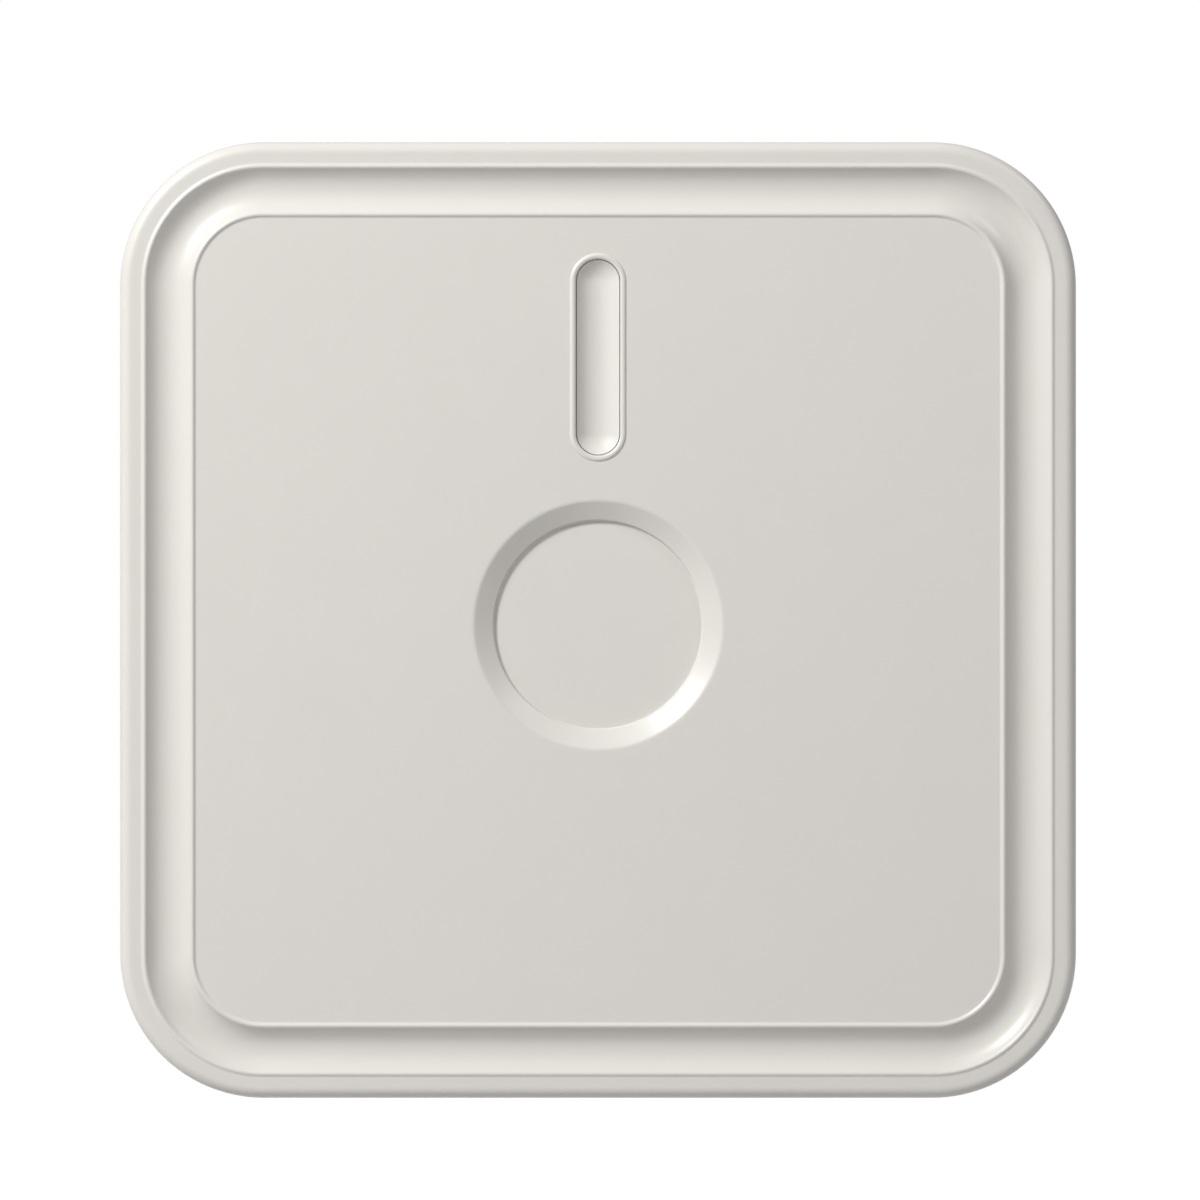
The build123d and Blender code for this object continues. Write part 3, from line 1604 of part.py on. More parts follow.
save(battery_cells(), "battery_cells")
save(battery_end_caps(), "battery_end_caps")
save(battery_wrap(), "battery_wrap")
save(battery_strap(), "battery_strap")
save(board_plug(-1), "battery_connector")
save(lead(pack_top, -1, "battery_lead"), "battery_lead")

save(power_board(), "power_board")
save(transformer_core(), "transformer_core")
save(transformer_bobbin(), "transformer_bobbin")
save(power_capacitors(), "power_capacitors")
save(fuse(), "fuse")
save(mains_terminal(), "mains_terminal")
save(power_cover(), "power_cover")
save(power_screws(), "power_screws")
save(power_connector(), "power_connector")
save(lead(power_outlet_z(), 1, "power_lead"), "power_lead")
save(cable_clamp(), "cable_clamp")
save(cable_clamp_screws(), "cable_clamp_screws")
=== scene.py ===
import cmath
import math
import random

import bmesh
import bpy
from mathutils import Matrix, Vector
from mathutils.bvhtree import BVHTree


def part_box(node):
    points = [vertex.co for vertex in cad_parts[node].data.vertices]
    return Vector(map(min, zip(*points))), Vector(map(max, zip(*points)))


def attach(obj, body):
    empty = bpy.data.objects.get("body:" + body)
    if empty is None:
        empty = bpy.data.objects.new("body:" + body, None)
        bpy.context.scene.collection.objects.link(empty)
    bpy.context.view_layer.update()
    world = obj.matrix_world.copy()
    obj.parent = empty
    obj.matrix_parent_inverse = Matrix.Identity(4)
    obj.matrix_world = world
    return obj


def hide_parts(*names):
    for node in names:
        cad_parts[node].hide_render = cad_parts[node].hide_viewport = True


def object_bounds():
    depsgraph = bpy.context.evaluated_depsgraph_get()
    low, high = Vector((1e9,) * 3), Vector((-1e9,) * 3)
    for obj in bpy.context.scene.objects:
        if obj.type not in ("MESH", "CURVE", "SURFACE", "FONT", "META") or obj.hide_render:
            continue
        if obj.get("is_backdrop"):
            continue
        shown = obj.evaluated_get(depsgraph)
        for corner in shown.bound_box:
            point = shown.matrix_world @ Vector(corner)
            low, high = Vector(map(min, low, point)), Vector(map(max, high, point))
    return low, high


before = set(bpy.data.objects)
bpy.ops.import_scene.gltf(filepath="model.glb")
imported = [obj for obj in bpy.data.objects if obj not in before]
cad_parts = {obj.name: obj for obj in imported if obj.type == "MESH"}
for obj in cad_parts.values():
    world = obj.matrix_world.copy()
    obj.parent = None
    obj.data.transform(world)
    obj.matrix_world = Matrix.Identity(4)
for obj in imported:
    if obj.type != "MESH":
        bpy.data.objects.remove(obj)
cad_low, cad_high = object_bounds()


# Front cover. One moulding in warm off-white ABS with a fine satin grain: a rolled outer edge, a
# narrow land with a thin crest, a wide cove, a small lip, and a flat face with a beaded slot and a
# round recess. Behind the face it has ribs, two hinge knuckles and a post for the tamper switch.
mm = 0.001
half_side = 100 * mm
corner_radius = 30 * mm
panel_front = -42 * mm  # the crest of the rim
cover_wall = 2.5 * mm
cover_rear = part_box("front_cover")[1].y
face_y = panel_front + 0.5 * mm
face_inner_y = face_y + cover_wall
slot_z = 54.9 * mm
slot_half_length = 20.5 * mm
slot_half_width = 4.6 * mm
recess_z = -1 * mm
smooth_angle = math.radians(35)  # an edge sharper than this stays sharp


def in_mm(rows):
    """Rows of numbers given in millimetres, in metres."""
    return [tuple(value * mm for value in row) for row in rows]


def arc_through(start, middle, end, steps):
    """Points on an arc of less than half a turn through three points, without its first one."""
    a, b, c = (complex(*point) for point in (start, middle, end))
    ratio = (c - a) / (b - a)
    centre = a + (b - a) * (ratio - abs(ratio) ** 2) / (2j * ratio.imag)
    turn = cmath.phase((c - centre) / (a - centre))
    line = [centre + (a - centre) * cmath.rect(1, turn * step / steps) for step in range(1, steps + 1)]
    return [(point.real, point.imag) for point in line]


def evenly(points, step):
    """The same line with points at an even distance."""
    lengths = [math.dist(a, b) for a, b in zip(points, points[1:])]
    total = sum(lengths)
    count = max(2, round(total / step))
    line, walked, part = [points[0]], 0.0, 0
    for number in range(1, count):
        target = total * number / count
        while walked + lengths[part] < target:
            walked += lengths[part]
            part += 1
        share = (target - walked) / lengths[part]
        a, b = points[part], points[part + 1]
        line.append((a[0] + (b[0] - a[0]) * share, a[1] + (b[1] - a[1]) * share))
    return line + [points[-1]]


def softened(points, rounds):
    """The same line with its corners worn a little, its ends kept."""
    for _ in range(rounds):
        triples = zip(points, points[1:], points[2:])
        inner = [((a[0] + 2 * b[0] + c[0]) / 4, (a[1] + 2 * b[1] + c[1]) / 4) for a, b, c in triples]
        points = [points[0], *inner, points[-1]]
    return points


def bow(radius, start, turn, steps, x=0.0, z=0.0):
    """Points on an arc about X and Z, from its starting angle on by that turn."""
    angles = [start + turn * step / steps for step in range(steps + 1)]
    return [(x + radius * math.cos(a), z + radius * math.sin(a)) for a in angles]


def square_loop(half_width, half_height, radius, x=0.0, z=0.0, steps=30):
    """Points round a square with round corners, its middle at X and Z."""
    loop = []
    for turn, (side, up) in enumerate(((1, 1), (-1, 1), (-1, -1), (1, -1))):
        corner = (x + side * (half_width - radius), z + up * (half_height - radius))
        loop += bow(radius, turn * math.pi / 2, math.pi / 2, steps, *corner)
    return loop


def slot_loop(offset):
    """Points round the upright slot, that far outside its edge."""
    radius = slot_half_width + offset
    reach = slot_half_length - slot_half_width
    top = bow(radius, 0, math.pi, 28, 0, slot_z + reach)
    return top + bow(radius, math.pi, math.pi, 28, 0, slot_z - reach)


def add_loop(bm, points, y):
    return [bm.verts.new((x, y, z)) for x, z in points]


def join_loops(bm, first, second):
    """A band of faces from one loop to the next, or a fan where one of them is a single point."""
    for step in range(max(len(first), len(second))):
        places = ((first, step), (first, step + 1), (second, step + 1), (second, step))
        corners = [row[place % len(row)] for row, place in places]
        bm.faces.new(list(dict.fromkeys(corners)))


def skin(bm, rows, closed=False):
    """A band from each loop to the next, and from the last back to the first if it is closed."""
    for first, second in zip(rows, rows[1:] + rows[:1] if closed else rows[1:]):
        join_loops(bm, first, second)


def bar(bm, rows):
    """A solid between two loops, capped at both."""
    join_loops(bm, *rows)
    for row in rows:
        bm.faces.new(row)


def fill_between(bm, loops):
    """A flat face between an outer loop and the holes in it."""
    edges = []
    for loop in loops:
        for a, b in zip(loop, loop[1:] + loop[:1]):
            edges.append(bm.edges.get((a, b)) or bm.edges.new((a, b)))
    bmesh.ops.triangle_fill(bm, use_beauty=True, use_dissolve=False, edges=edges)


def object_from(mesh, name):
    """An object for a mesh, smooth but for its sharp edges."""
    mesh.shade_smooth()
    mesh.set_sharp_from_angle(angle=smooth_angle)
    piece = bpy.data.objects.new(name, mesh)
    bpy.context.scene.collection.objects.link(piece)
    return piece


def piece_from(bm, name):
    """A piece from what was built, its faces turned outwards."""
    bmesh.ops.recalc_face_normals(bm, faces=bm.faces)
    mesh = bpy.data.meshes.new(name)
    bm.to_mesh(mesh)
    bm.free()
    return object_from(mesh, name)


def made(name, build, *sizes):
    """A piece from one building function and its sizes."""
    bm = bmesh.new()
    build(bm, *sizes)
    return piece_from(bm, name)


def block(bm, low, high):
    """A box between two corners."""
    middle = (Vector(low) + Vector(high)) / 2
    size = Vector(high) - Vector(low)
    place = Matrix.Translation(middle) @ Matrix.Diagonal((abs(size.x), abs(size.y), abs(size.z), 1))
    return bmesh.ops.create_cube(bm, size=1, matrix=place)["verts"]


def rod(bm, start, end, radius, steps=48):
    """A round bar between two points."""
    start, end = Vector(start), Vector(end)
    way = end - start
    place = Matrix.Translation((start + end) / 2) @ way.to_track_quat("Z", "Y").to_matrix().to_4x4()
    bmesh.ops.create_cone(
        bm, cap_ends=True, segments=steps, radius1=radius, radius2=radius, depth=way.length, matrix=place
    )


def cover_shell(bm):
    """The moulding's skin, outside and inside, as one closed mesh.

    Its section is in millimetres: in from the side, and back from the crest of the rim.
    """
    depth = (cover_rear - panel_front) / mm
    edge = [(0, 8), (0, 2.7)]
    edge += arc_through((0, 2.7), (0.703, 1.003), (2.4, 0.3), 24)
    edge.append((4.7, 0.3))
    edge += arc_through((4.7, 0.3), (5.2, 0), (5.7, 0.3), 12)
    edge += arc_through((5.7, 0.3), (10.25, 2.4), (14.8, 0.3), 40)
    edge += arc_through((14.8, 0.3), (15.3, 0.08), (15.8, 0.5), 12)
    edge.append((16.4, 0.5))
    outside = [(0.3, depth), (0, depth - 0.3), *softened(evenly(edge, 0.16), 3), (17, 0.5)]
    inside = [(17, 3), (15.57, 3)]
    inside += arc_through((15.57, 3), (10.25, 4.9), (4.93, 3), 24)
    inside.append((3.3, 3))
    inside += arc_through((3.3, 3), (2.734, 3.234), (2.5, 3.8), 8)
    inside += [(2.5, depth - 0.3), (2.2, depth)]

    def swept(section):
        """Loops round the whole panel along that section."""
        rows = []
        for inset, drop in in_mm(section):
            half = half_side - inset
            rows.append(add_loop(bm, square_loop(half, half, corner_radius - inset), panel_front + drop))
        skin(bm, rows)
        return rows

    def dished(section):
        """A closed dish on the face, from (radius, drop) points. Gives its outer loop."""
        rows = []
        for radius, drop in in_mm(section):
            circle = bow(radius, 0, 2 * math.pi, 144, 0, recess_z)[:-1]
            rows.append(add_loop(bm, circle, face_y + drop))
        skin(bm, rows)
        bm.faces.new(rows[-1])
        return rows[0]

    front = swept(outside)
    back = swept(inside)
    join_loops(bm, back[-1], front[0])
    crown = evenly([(1.3, 0), *arc_through((1.3, 0), (0.62, -0.35), (0, 0), 20)], 0.1)
    bead = [(1.75, 0), (1.45, 0), *softened(crown, 1), (0, 0.4), (0, cover_wall / mm)]
    slot_rows = [add_loop(bm, slot_loop(out), face_y + drop) for out, drop in in_mm(bead)]
    skin(bm, slot_rows)
    bevel = softened(evenly([(27, 0), (26, 0), (23, 1.65)], 0.2), 4)
    foot = softened(evenly([(23, 1.65), (22, 2.2), (21.75, 3), (20, 3)], 0.08), 2)
    recess = [(27.5, 0), *bevel, *foot[1:], (10, 3), (2, 3)]
    fill_between(bm, [front[-1], slot_rows[0], dished(recess)])
    swell = [(26.64, 2.5), (23.2, 4.39), (22.6, 5.5), (2, 5.5)]
    fill_between(bm, [back[0], slot_rows[-1], dished(swell)])


def discard(piece):
    """Remove an object and its mesh or curve."""
    data = piece.data
    kept_in = bpy.data.meshes if piece.type == "MESH" else bpy.data.curves
    bpy.data.objects.remove(piece)
    kept_in.remove(data)


def settled(piece):
    """A plain new piece of that name with the old one's modifiers worked in."""
    graph = bpy.context.evaluated_depsgraph_get()
    mesh = bpy.data.meshes.new_from_object(piece.evaluated_get(graph))
    name = piece.name
    discard(piece)
    return object_from(mesh, name)


def carved(target, tool, operation="DIFFERENCE"):
    """The target with a tool cut out of it, or joined to it. The tool is used up."""
    step = target.modifiers.new(operation, "BOOLEAN")
    step.operation = operation
    step.object = tool
    step.solver = "EXACT"
    result = settled(target)
    discard(tool)
    return result


hinge_x = 58 * mm
hinge_y = -6.49 * mm
hinge_z = 94.7 * mm
lock_y = -11 * mm
root = face_inner_y - 0.8 * mm  # the ribs and posts reach this far into the face
rib_back = face_inner_y + 3 * mm
rib_reach = 81 * mm
post_x = 61 * mm
post_z = 26.4 * mm
post_tip = -18.4 * mm


def lens_frame(bm):
    """The low rib round the window's flange."""
    outer, inner, back = 4.4 * mm, 3.2 * mm, face_inner_y + 2 * mm
    section = ((outer, root), (outer, back), (inner, back), (inner, root))
    skin(bm, [add_loop(bm, slot_loop(out), y) for out, y in section], closed=True)


def channel(bm, radius, low, high):
    """A slot for the lock screw with one round end, that runs out at the cover's rear edge."""
    end_y = cover_rear + 2 * mm
    outline = [(radius, end_y), (-radius, end_y), *bow(radius, math.pi, math.pi, 24, 0, lock_y)]
    bar(bm, [[bm.verts.new((x, y, z)) for x, y in outline] for z in (low, high)])


def inside_of_cover():
    """What stands on the cover's inner side. Blocks that cross differ by a hair, so no faces coincide."""
    hair = 0.01 * mm
    thin = 0.7 * mm
    for x in (-37 * mm, 37 * mm):
        yield made("rib", block, (x - thin, root, -rib_reach), (x + thin, rib_back, rib_reach))
    for z in (27.5 * mm, -40 * mm, -68 * mm):
        low = (-rib_reach, root, z - thin - hair)
        yield made("rib", block, low, (rib_reach, rib_back - hair, z + thin + hair))
    yield made("lens_frame", lens_frame)
    low = (post_x - 3 * mm, root, post_z - thin)
    yield made("post", block, low, (post_x + 3 * mm, post_tip, post_z + thin))
    low = (post_x - thin - hair, root, post_z - 3 * mm)
    yield made("post", block, low, (post_x + thin + hair, post_tip - hair, post_z + 3 * mm))
    for x in (-hinge_x, hinge_x):
        half, round_half = 5 * mm, 2.4 * mm
        yield made("knuckle", rod, (x - half, hinge_y, hinge_z), (x + half, hinge_y, hinge_z), round_half)
        low = (x - half + hair, hinge_y - round_half + hair, hinge_z)
        high = (x + half - hair, hinge_y + round_half - hair, half_side - cover_wall + 0.8 * mm)
        yield made("web", block, low, high)
    low = (-6 * mm, lock_y - 5.6 * mm, -half_side + cover_wall - 0.8 * mm)
    yield made("lock_boss", block, low, (6 * mm, cover_rear - 0.3 * mm, -96.4 * mm))


cover = made("cover_moulding", cover_shell)
for part in list(inside_of_cover()):
    cover = carved(cover, part, "UNION")
for radius, low, high in in_mm(((3.5, -105, -97.9), (1.85, -99, -94))):
    cover = carved(cover, made("channel", channel, radius, low, high))
for x in (-hinge_x, hinge_x):
    ends = [(x + side * 6 * mm, hinge_y, hinge_z) for side in (-1, 1)]
    cover = carved(cover, made("bore", rod, *ends, 1.31 * mm))


def feed(node, inputs):
    """Set a node's inputs, each to a plain value or to the socket that drives it."""
    for key, value in dict(inputs).items():
        if isinstance(value, bpy.types.NodeSocket):
            node.id_data.links.new(value, node.inputs[key])
        else:
            node.inputs[key].default_value = value


def add_node(tree, kind, inputs=(), output=0, **settings):
    """A new node. Gives its first output, or the one that is asked for."""
    node = tree.nodes.new(kind)
    for name, value in settings.items():
        setattr(node, name, value)
    feed(node, inputs)
    return node.outputs[output]


def new_material(name):
    """A material with its shader and its Object coordinates."""
    material = bpy.data.materials.new(name)
    material.use_nodes = True
    tree = material.node_tree
    shader = next(node for node in tree.nodes if node.type == "BSDF_PRINCIPLED")
    return material, shader, add_node(tree, "ShaderNodeTexCoord", output="Object")


def mottled(place, scale, detail=4.0, rough=0.55):
    """Soft noise between 0 and 1. The scale is in spots to the metre."""
    inputs = {"Vector": place, "Scale": scale, "Detail": detail, "Roughness": rough}
    return add_node(place.id_data, "ShaderNodeTexNoise", inputs)


def between(value, low, high, start=0.3, end=0.7):
    """That value, which runs from start to end, stretched from low to high."""
    inputs = {"Value": value, "From Min": start, "From Max": end, "To Min": low, "To Max": high}
    return add_node(value.id_data, "ShaderNodeMapRange", inputs)


def shaded(value, colour, spread):
    """That colour, a little darker and lighter by the value."""
    dark = (*(c * (1 - spread) for c in colour), 1)
    light = (*(min(1, c * (1 + spread)) for c in colour), 1)
    return add_node(value.id_data, "ShaderNodeMix", {0: value, 6: dark, 7: light}, 2, data_type="RGBA")


def painted(shader, colour, roughness, height, strength, distance):
    """Give a shader its colour, its roughness and a fine relief."""
    relief = {"Height": height, "Strength": strength, "Distance": distance}
    normal = add_node(shader.id_data, "ShaderNodeBump", relief)
    feed(shader, {"Base Color": colour, "Roughness": roughness, "Normal": normal})


def moulded_plastic(name, colour, roughness, grain_size=0.25 * mm, relief=0.12, spread=0.012):
    """Moulded plastic: a faint mottle in the colour, a fine even grain and an uneven gloss."""
    material, shader, place = new_material(name)
    tone = shaded(mottled(place, 60), colour, spread)
    gloss = between(mottled(place, 140), roughness - 0.03, roughness + 0.03)
    painted(shader, tone, gloss, mottled(place, 1 / grain_size, 2.0, 0.5), relief, 0.02 * mm)
    return material


def finished(piece, material, slot, *nodes, body="panel"):
    """Paint a piece, let it ride on its body, and say which nodes it stands for."""
    piece.data.materials.clear()
    piece.data.materials.append(material)
    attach(piece, body)
    if nodes:
        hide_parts(*nodes)


cover_plastic = moulded_plastic("cover_plastic", (0.648, 0.626, 0.590), 0.36)
finished(cover, cover_plastic, "cover_plastic", "front_cover", body="cover")


# Light window. A milky moulding clipped in from behind, with a flange behind the face and a smooth
# trough in front, so that the status lights glow through the slot.
lens_gap = 0.15 * mm
flange_width = 3 * mm
flange_back = face_inner_y + 1.2 * mm
trough = 1.85 * mm


def light_window(bm):
    """The window, its trough an arc from side to side."""
    half = slot_half_width - lens_gap
    radius = (half**2 + trough**2) / (2 * trough)
    rows = [(flange_width, flange_back), (flange_width, face_inner_y)]
    rows += [(-lens_gap, face_inner_y), (-lens_gap, face_y)]
    steps = 15
    for step in range(1, steps):
        reach = half * (1 - step / steps)
        depth = math.sqrt(radius**2 - reach**2) - (radius - trough)
        rows.append((reach - slot_half_width, face_y + depth))
    loops = [add_loop(bm, slot_loop(out), y) for out, y in rows]
    skin(bm, loops)
    for loop in (loops[0], loops[-1]):
        bm.faces.new(loop)


window_plastic = moulded_plastic("window_plastic", (0.645, 0.622, 0.588), 0.5, relief=0.08)
finished(made("light_window", light_window), window_plastic, "lens_plastic", "light_lens", body="cover")


# Rear housing. One ABS moulding that is screwed to the wall: a tray with a rim, bosses, posts, saddles
# and hooks for everything it carries. Its faces are spark-textured, a little coarser than the cover's.
housing_colour = (0.53, 0.512, 0.485)


def dress(material, *nodes):
    """Give the own meshes of those nodes that finish."""
    for node in nodes:
        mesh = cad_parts[node].data
        mesh.materials.clear()
        mesh.materials.append(material)


def calculated(operation, *values):
    """One step of arithmetic on numbers or sockets."""
    return add_node(values[0].id_data, "ShaderNodeMath", enumerate(values), operation=operation)


def along(place, axis):
    """How far the place is along one axis."""
    return add_node(place.id_data, "ShaderNodeSeparateXYZ", {0: place}, axis)


def pin_marks(place, pitch, radius, half_line=0.12 * mm):
    """Thin rings at an even pitch, where the mould's ejector pins pushed."""
    first_cell = 40.5  # the half puts a ring in the middle, the 40 keeps every count above zero
    squares = []
    for axis in ("X", "Z"):
        count = calculated("DIVIDE", along(place, axis), pitch)
        cell = calculated("FRACT", calculated("ADD", count, first_cell))
        away = calculated("MULTIPLY", calculated("SUBTRACT", cell, 0.5), pitch)
        squares.append(calculated("MULTIPLY", away, away))
    reach = calculated("SQRT", calculated("ADD", *squares))
    miss = calculated("ABSOLUTE", calculated("SUBTRACT", reach, radius))
    return calculated("LESS_THAN", miss, half_line)


def housing_finish():
    """The cover's plastic with a coarser texture, and the pin marks a little sunk and darker."""
    material, shader, place = new_material("housing_plastic")
    marks = pin_marks(place, 38 * mm, 2.5 * mm)
    tone = shaded(mottled(place, 60), housing_colour, 0.025)
    inputs = {0: calculated("MULTIPLY", marks, 0.35), 6: tone, 7: (0.6, 0.6, 0.6, 1)}
    tint = add_node(place.id_data, "ShaderNodeMix", inputs, 2, data_type="RGBA", blend_type="MULTIPLY")
    gloss = between(mottled(place, 140), 0.49, 0.55)
    texture = mottled(place, 1 / (0.4 * mm), 2.0, 0.5)
    texture = calculated("SUBTRACT", texture, calculated("MULTIPLY", marks, 3.0))
    painted(shader, tint, gloss, texture, 0.25, 0.02 * mm)
    return material


dress(housing_finish(), "rear_housing")


# Hinge pins. Two lengths of drawn steel rod, each pressed through the housing's two ears, with the
# cover's knuckle turning on it between them. Their ends are chamfered.
def turned(bm, profile, foot, way, steps=40, closed=False):
    """A body of revolution, capped or closed to a ring.

    The profile is in millimetres: the radius, and how far along the way from the foot.
    """
    foot, way = Vector(foot), Vector(way).normalized()
    side = way.orthogonal().normalized()
    other = way.cross(side)
    spokes = [side * cos + other * sin for cos, sin in bow(1, 0, 2 * math.pi, steps)[:-1]]
    rows = []
    for radius, height in in_mm(profile):
        centre = foot + way * height
        around = spokes if radius else spokes[:1]
        rows.append([bm.verts.new(centre + spoke * radius) for spoke in around])
    skin(bm, rows, closed)
    for row in () if closed else (rows[0], rows[-1]):
        if len(row) > 1:
            bm.faces.new(row)


def stretched(place, lines):
    """The place with each of its axes scaled."""
    return add_node(place.id_data, "ShaderNodeMapping", {"Vector": place, "Scale": lines})


def plated_metal(name, colour, roughness, lines=(1, 1, 1), scale=900, relief=0.08, spread=0.05):
    """Bare or plated metal. The lines stretch its fine scratches along one way."""
    material, shader, place = new_material(name)
    shader.inputs["Metallic"].default_value = 1.0
    scratches = mottled(stretched(place, lines), scale, 3.0, 0.6)
    tone = shaded(mottled(place, 180), colour, spread)
    gloss = between(scratches, 0.75 * roughness, 1.3 * roughness)
    painted(shader, tone, gloss, scratches, relief, 0.01 * mm)
    return material


def hinge_rods(bm):
    radius, length, bevel = 1.25, 16.8, 0.25
    profile = [(0, 0), (radius - bevel, 0), (radius, bevel), (radius, length - bevel)]
    profile += [(radius - bevel, length), (0, length)]
    for x in (-hinge_x, hinge_x):
        turned(bm, profile, (x - length * mm / 2, hinge_y, hinge_z), (1, 0, 0))


drawn_steel = plated_metal("drawn_steel", (0.56, 0.56, 0.57), 0.3, (0.05, 1, 1))
finished(made("hinge_rods", hinge_rods), drawn_steel, "steel", "hinge_pins")


# Lock. A zinc-plated screw with a slotted low head holds the cover's bottom edge, through a slot in
# it, to a knurled brass insert moulded into the housing. A washer stays on the screw.
zinc_plate = plated_metal("zinc_plate", (0.60, 0.605, 0.60), 0.33, scale=1400, relief=0.05)
turned_brass = plated_metal("turned_brass", (0.66, 0.47, 0.20), 0.3, (1, 1, 6))
lock_pitch = 0.5
screw_profile = [(0, 0), (1.35, 0), (2.55, 0.12), (2.75, 0.45), (2.75, 1.48), (1.42, 1.48), (1.42, 2.4)]
for turn in range(18):
    ridge = 2.6 + lock_pitch * turn
    screw_profile += [(1.45, ridge), (1.2, ridge + lock_pitch / 2)]
screw_profile += [(1.2, 11.6), (0, 11.7)]
lock_screw = made("lock_screw_turned", turned, screw_profile, (0, lock_y, -half_side), (0, 0, 1))
low, high = (-4 * mm, lock_y - 0.4 * mm, -101 * mm), (4 * mm, lock_y + 0.4 * mm, -99.3 * mm)
lock_screw = carved(lock_screw, made("screw_slot", block, low, high))
finished(lock_screw, zinc_plate, "steel", "lock_screw", body="lock_screw")
ring = [(1.52, 0), (3.0, 0), (3.1, 0.1), (3.1, 0.4), (3.0, 0.5), (1.52, 0.5)]
washer = made("lock_washer_stamped", turned, ring, (0, lock_y, -98.5 * mm), (0, 0, 1), 40, True)
finished(washer, zinc_plate, "steel", "lock_washer", body="lock_washer")


def knurled_insert(bm, knurls=28):
    """The insert, from (radius, distance along, depth of the knurling) in millimetres."""
    rows = []
    for radius, reach, cut in (
        (1.52, 0, 0), (2.0, 0, 0.05), (2.12, 0.3, 0.14), (2.12, 1.8, 0.14), (1.9, 2.0, 0),
        (1.9, 4.0, 0), (2.12, 4.2, 0.14), (2.12, 5.8, 0.14), (1.95, 6, 0.05), (1.52, 6, 0),
    ):
        row = []
        for step in range(4 * knurls):
            a = 2 * math.pi * step / (4 * knurls)
            out = (radius + (cut if step % 4 < 2 else -cut) / 2) * mm
            row.append(bm.verts.new((out * math.cos(a), lock_y + out * math.sin(a), -95.5 * mm + reach * mm)))
        rows.append(row)
    skin(bm, rows, closed=True)


finished(made("lock_insert_knurled", knurled_insert), turned_brass, "brass", "lock_insert")


# Cable grommet. Black rubber edging snapped into the hole in the housing's floor that the cables
# come through, so that the plastic doesn't cut them.
def soft_rubber(name, colour):
    """Rubber or soft wire sleeve: dull, with a cloudy bloom."""
    material, shader, place = new_material(name)
    bloom = mottled(place, 220, 6.0, 0.65)
    gloss = between(bloom, 0.55, 0.8)
    tone = shaded(bloom, colour, 0.35)
    painted(shader, tone, gloss, mottled(place, 2500, 3.0), 0.3, 0.03 * mm)
    return material


dress(soft_rubber("grommet_rubber", (0.028, 0.028, 0.03)), "cable_grommet")


# Screws that hold the boards, the power cover and the cable clamp. Zinc-plated pan heads with a
# cross recess, all alike but for their length, each turned home at its own angle.
board_y = -10.1 * mm  # front face of both main boards
thread_pitch = 0.8
thread_radius = 1.23
thread_root = 1.0


def cross_arm(bm, turn):
    """One arm of the recess, narrower at its foot."""
    verts = block(bm, (-1.65 * mm, -2.5 * mm, -0.33 * mm), (1.65 * mm, -0.9 * mm, 0.33 * mm))
    for v in verts:
        if v.co.y > -1 * mm:
            v.co.x *= 0.45
    bmesh.ops.rotate(bm, verts=verts, matrix=Matrix.Rotation(turn, 3, "Y"))


def cross_screw(length):
    """One screw at the origin, its head towards the front and its seat at y = 0."""
    profile = [(0, -2.0), (1.5, -1.97), (2.2, -1.72), (2.6, -1.2), (2.75, -0.5), (2.75, 0)]
    profile += [(thread_radius, 0), (thread_radius, 0.6)]
    ridge = 0.9
    while ridge < length - 0.6:
        profile += [(thread_radius, ridge), (thread_root, ridge + thread_pitch / 2)]
        ridge += thread_pitch
    profile += [(thread_root, length - 0.5), (0, length)]
    screw = made("cross_screw", turned, profile, (0, 0, 0), (0, 1, 0), 36)
    for turn in (0, math.pi / 2):
        screw = carved(screw, made("cross_arm", cross_arm, turn))
    return screw


def node_group(name, inputs):
    """A geometry node tree with named inputs, the keys that a modifier sets them by, and their sockets."""
    tree = bpy.data.node_groups.new(name, "GeometryNodeTree")
    keys = {}
    for label, kind in {"Geometry": "Geometry", **inputs, "Finish": "Material"}.items():
        socket = tree.interface.new_socket(label, in_out="INPUT", socket_type="NodeSocket" + kind)
        keys[label] = socket.identifier
    tree.interface.new_socket("Result", in_out="OUTPUT", socket_type="NodeSocketGeometry")
    return tree, keys, tree.nodes.new("NodeGroupInput").outputs


def close_group(tree, geometry, finish):
    """End a tree in real geometry with its material."""
    real = add_node(tree, "GeometryNodeRealizeInstances", {"Geometry": geometry})
    coated = add_node(tree, "GeometryNodeSetMaterial", {"Geometry": real, "Material": finish})
    feed(tree.nodes.new("NodeGroupOutput"), {"Result": coated})


def shaped(piece, tree, keys, values):
    """The piece as the tree makes it with those values, as a plain mesh."""
    layout = piece.modifiers.new("layout", "NODES")
    layout.node_group = tree
    for label, value in values.items():
        layout[keys[label]] = value
    return settled(piece)


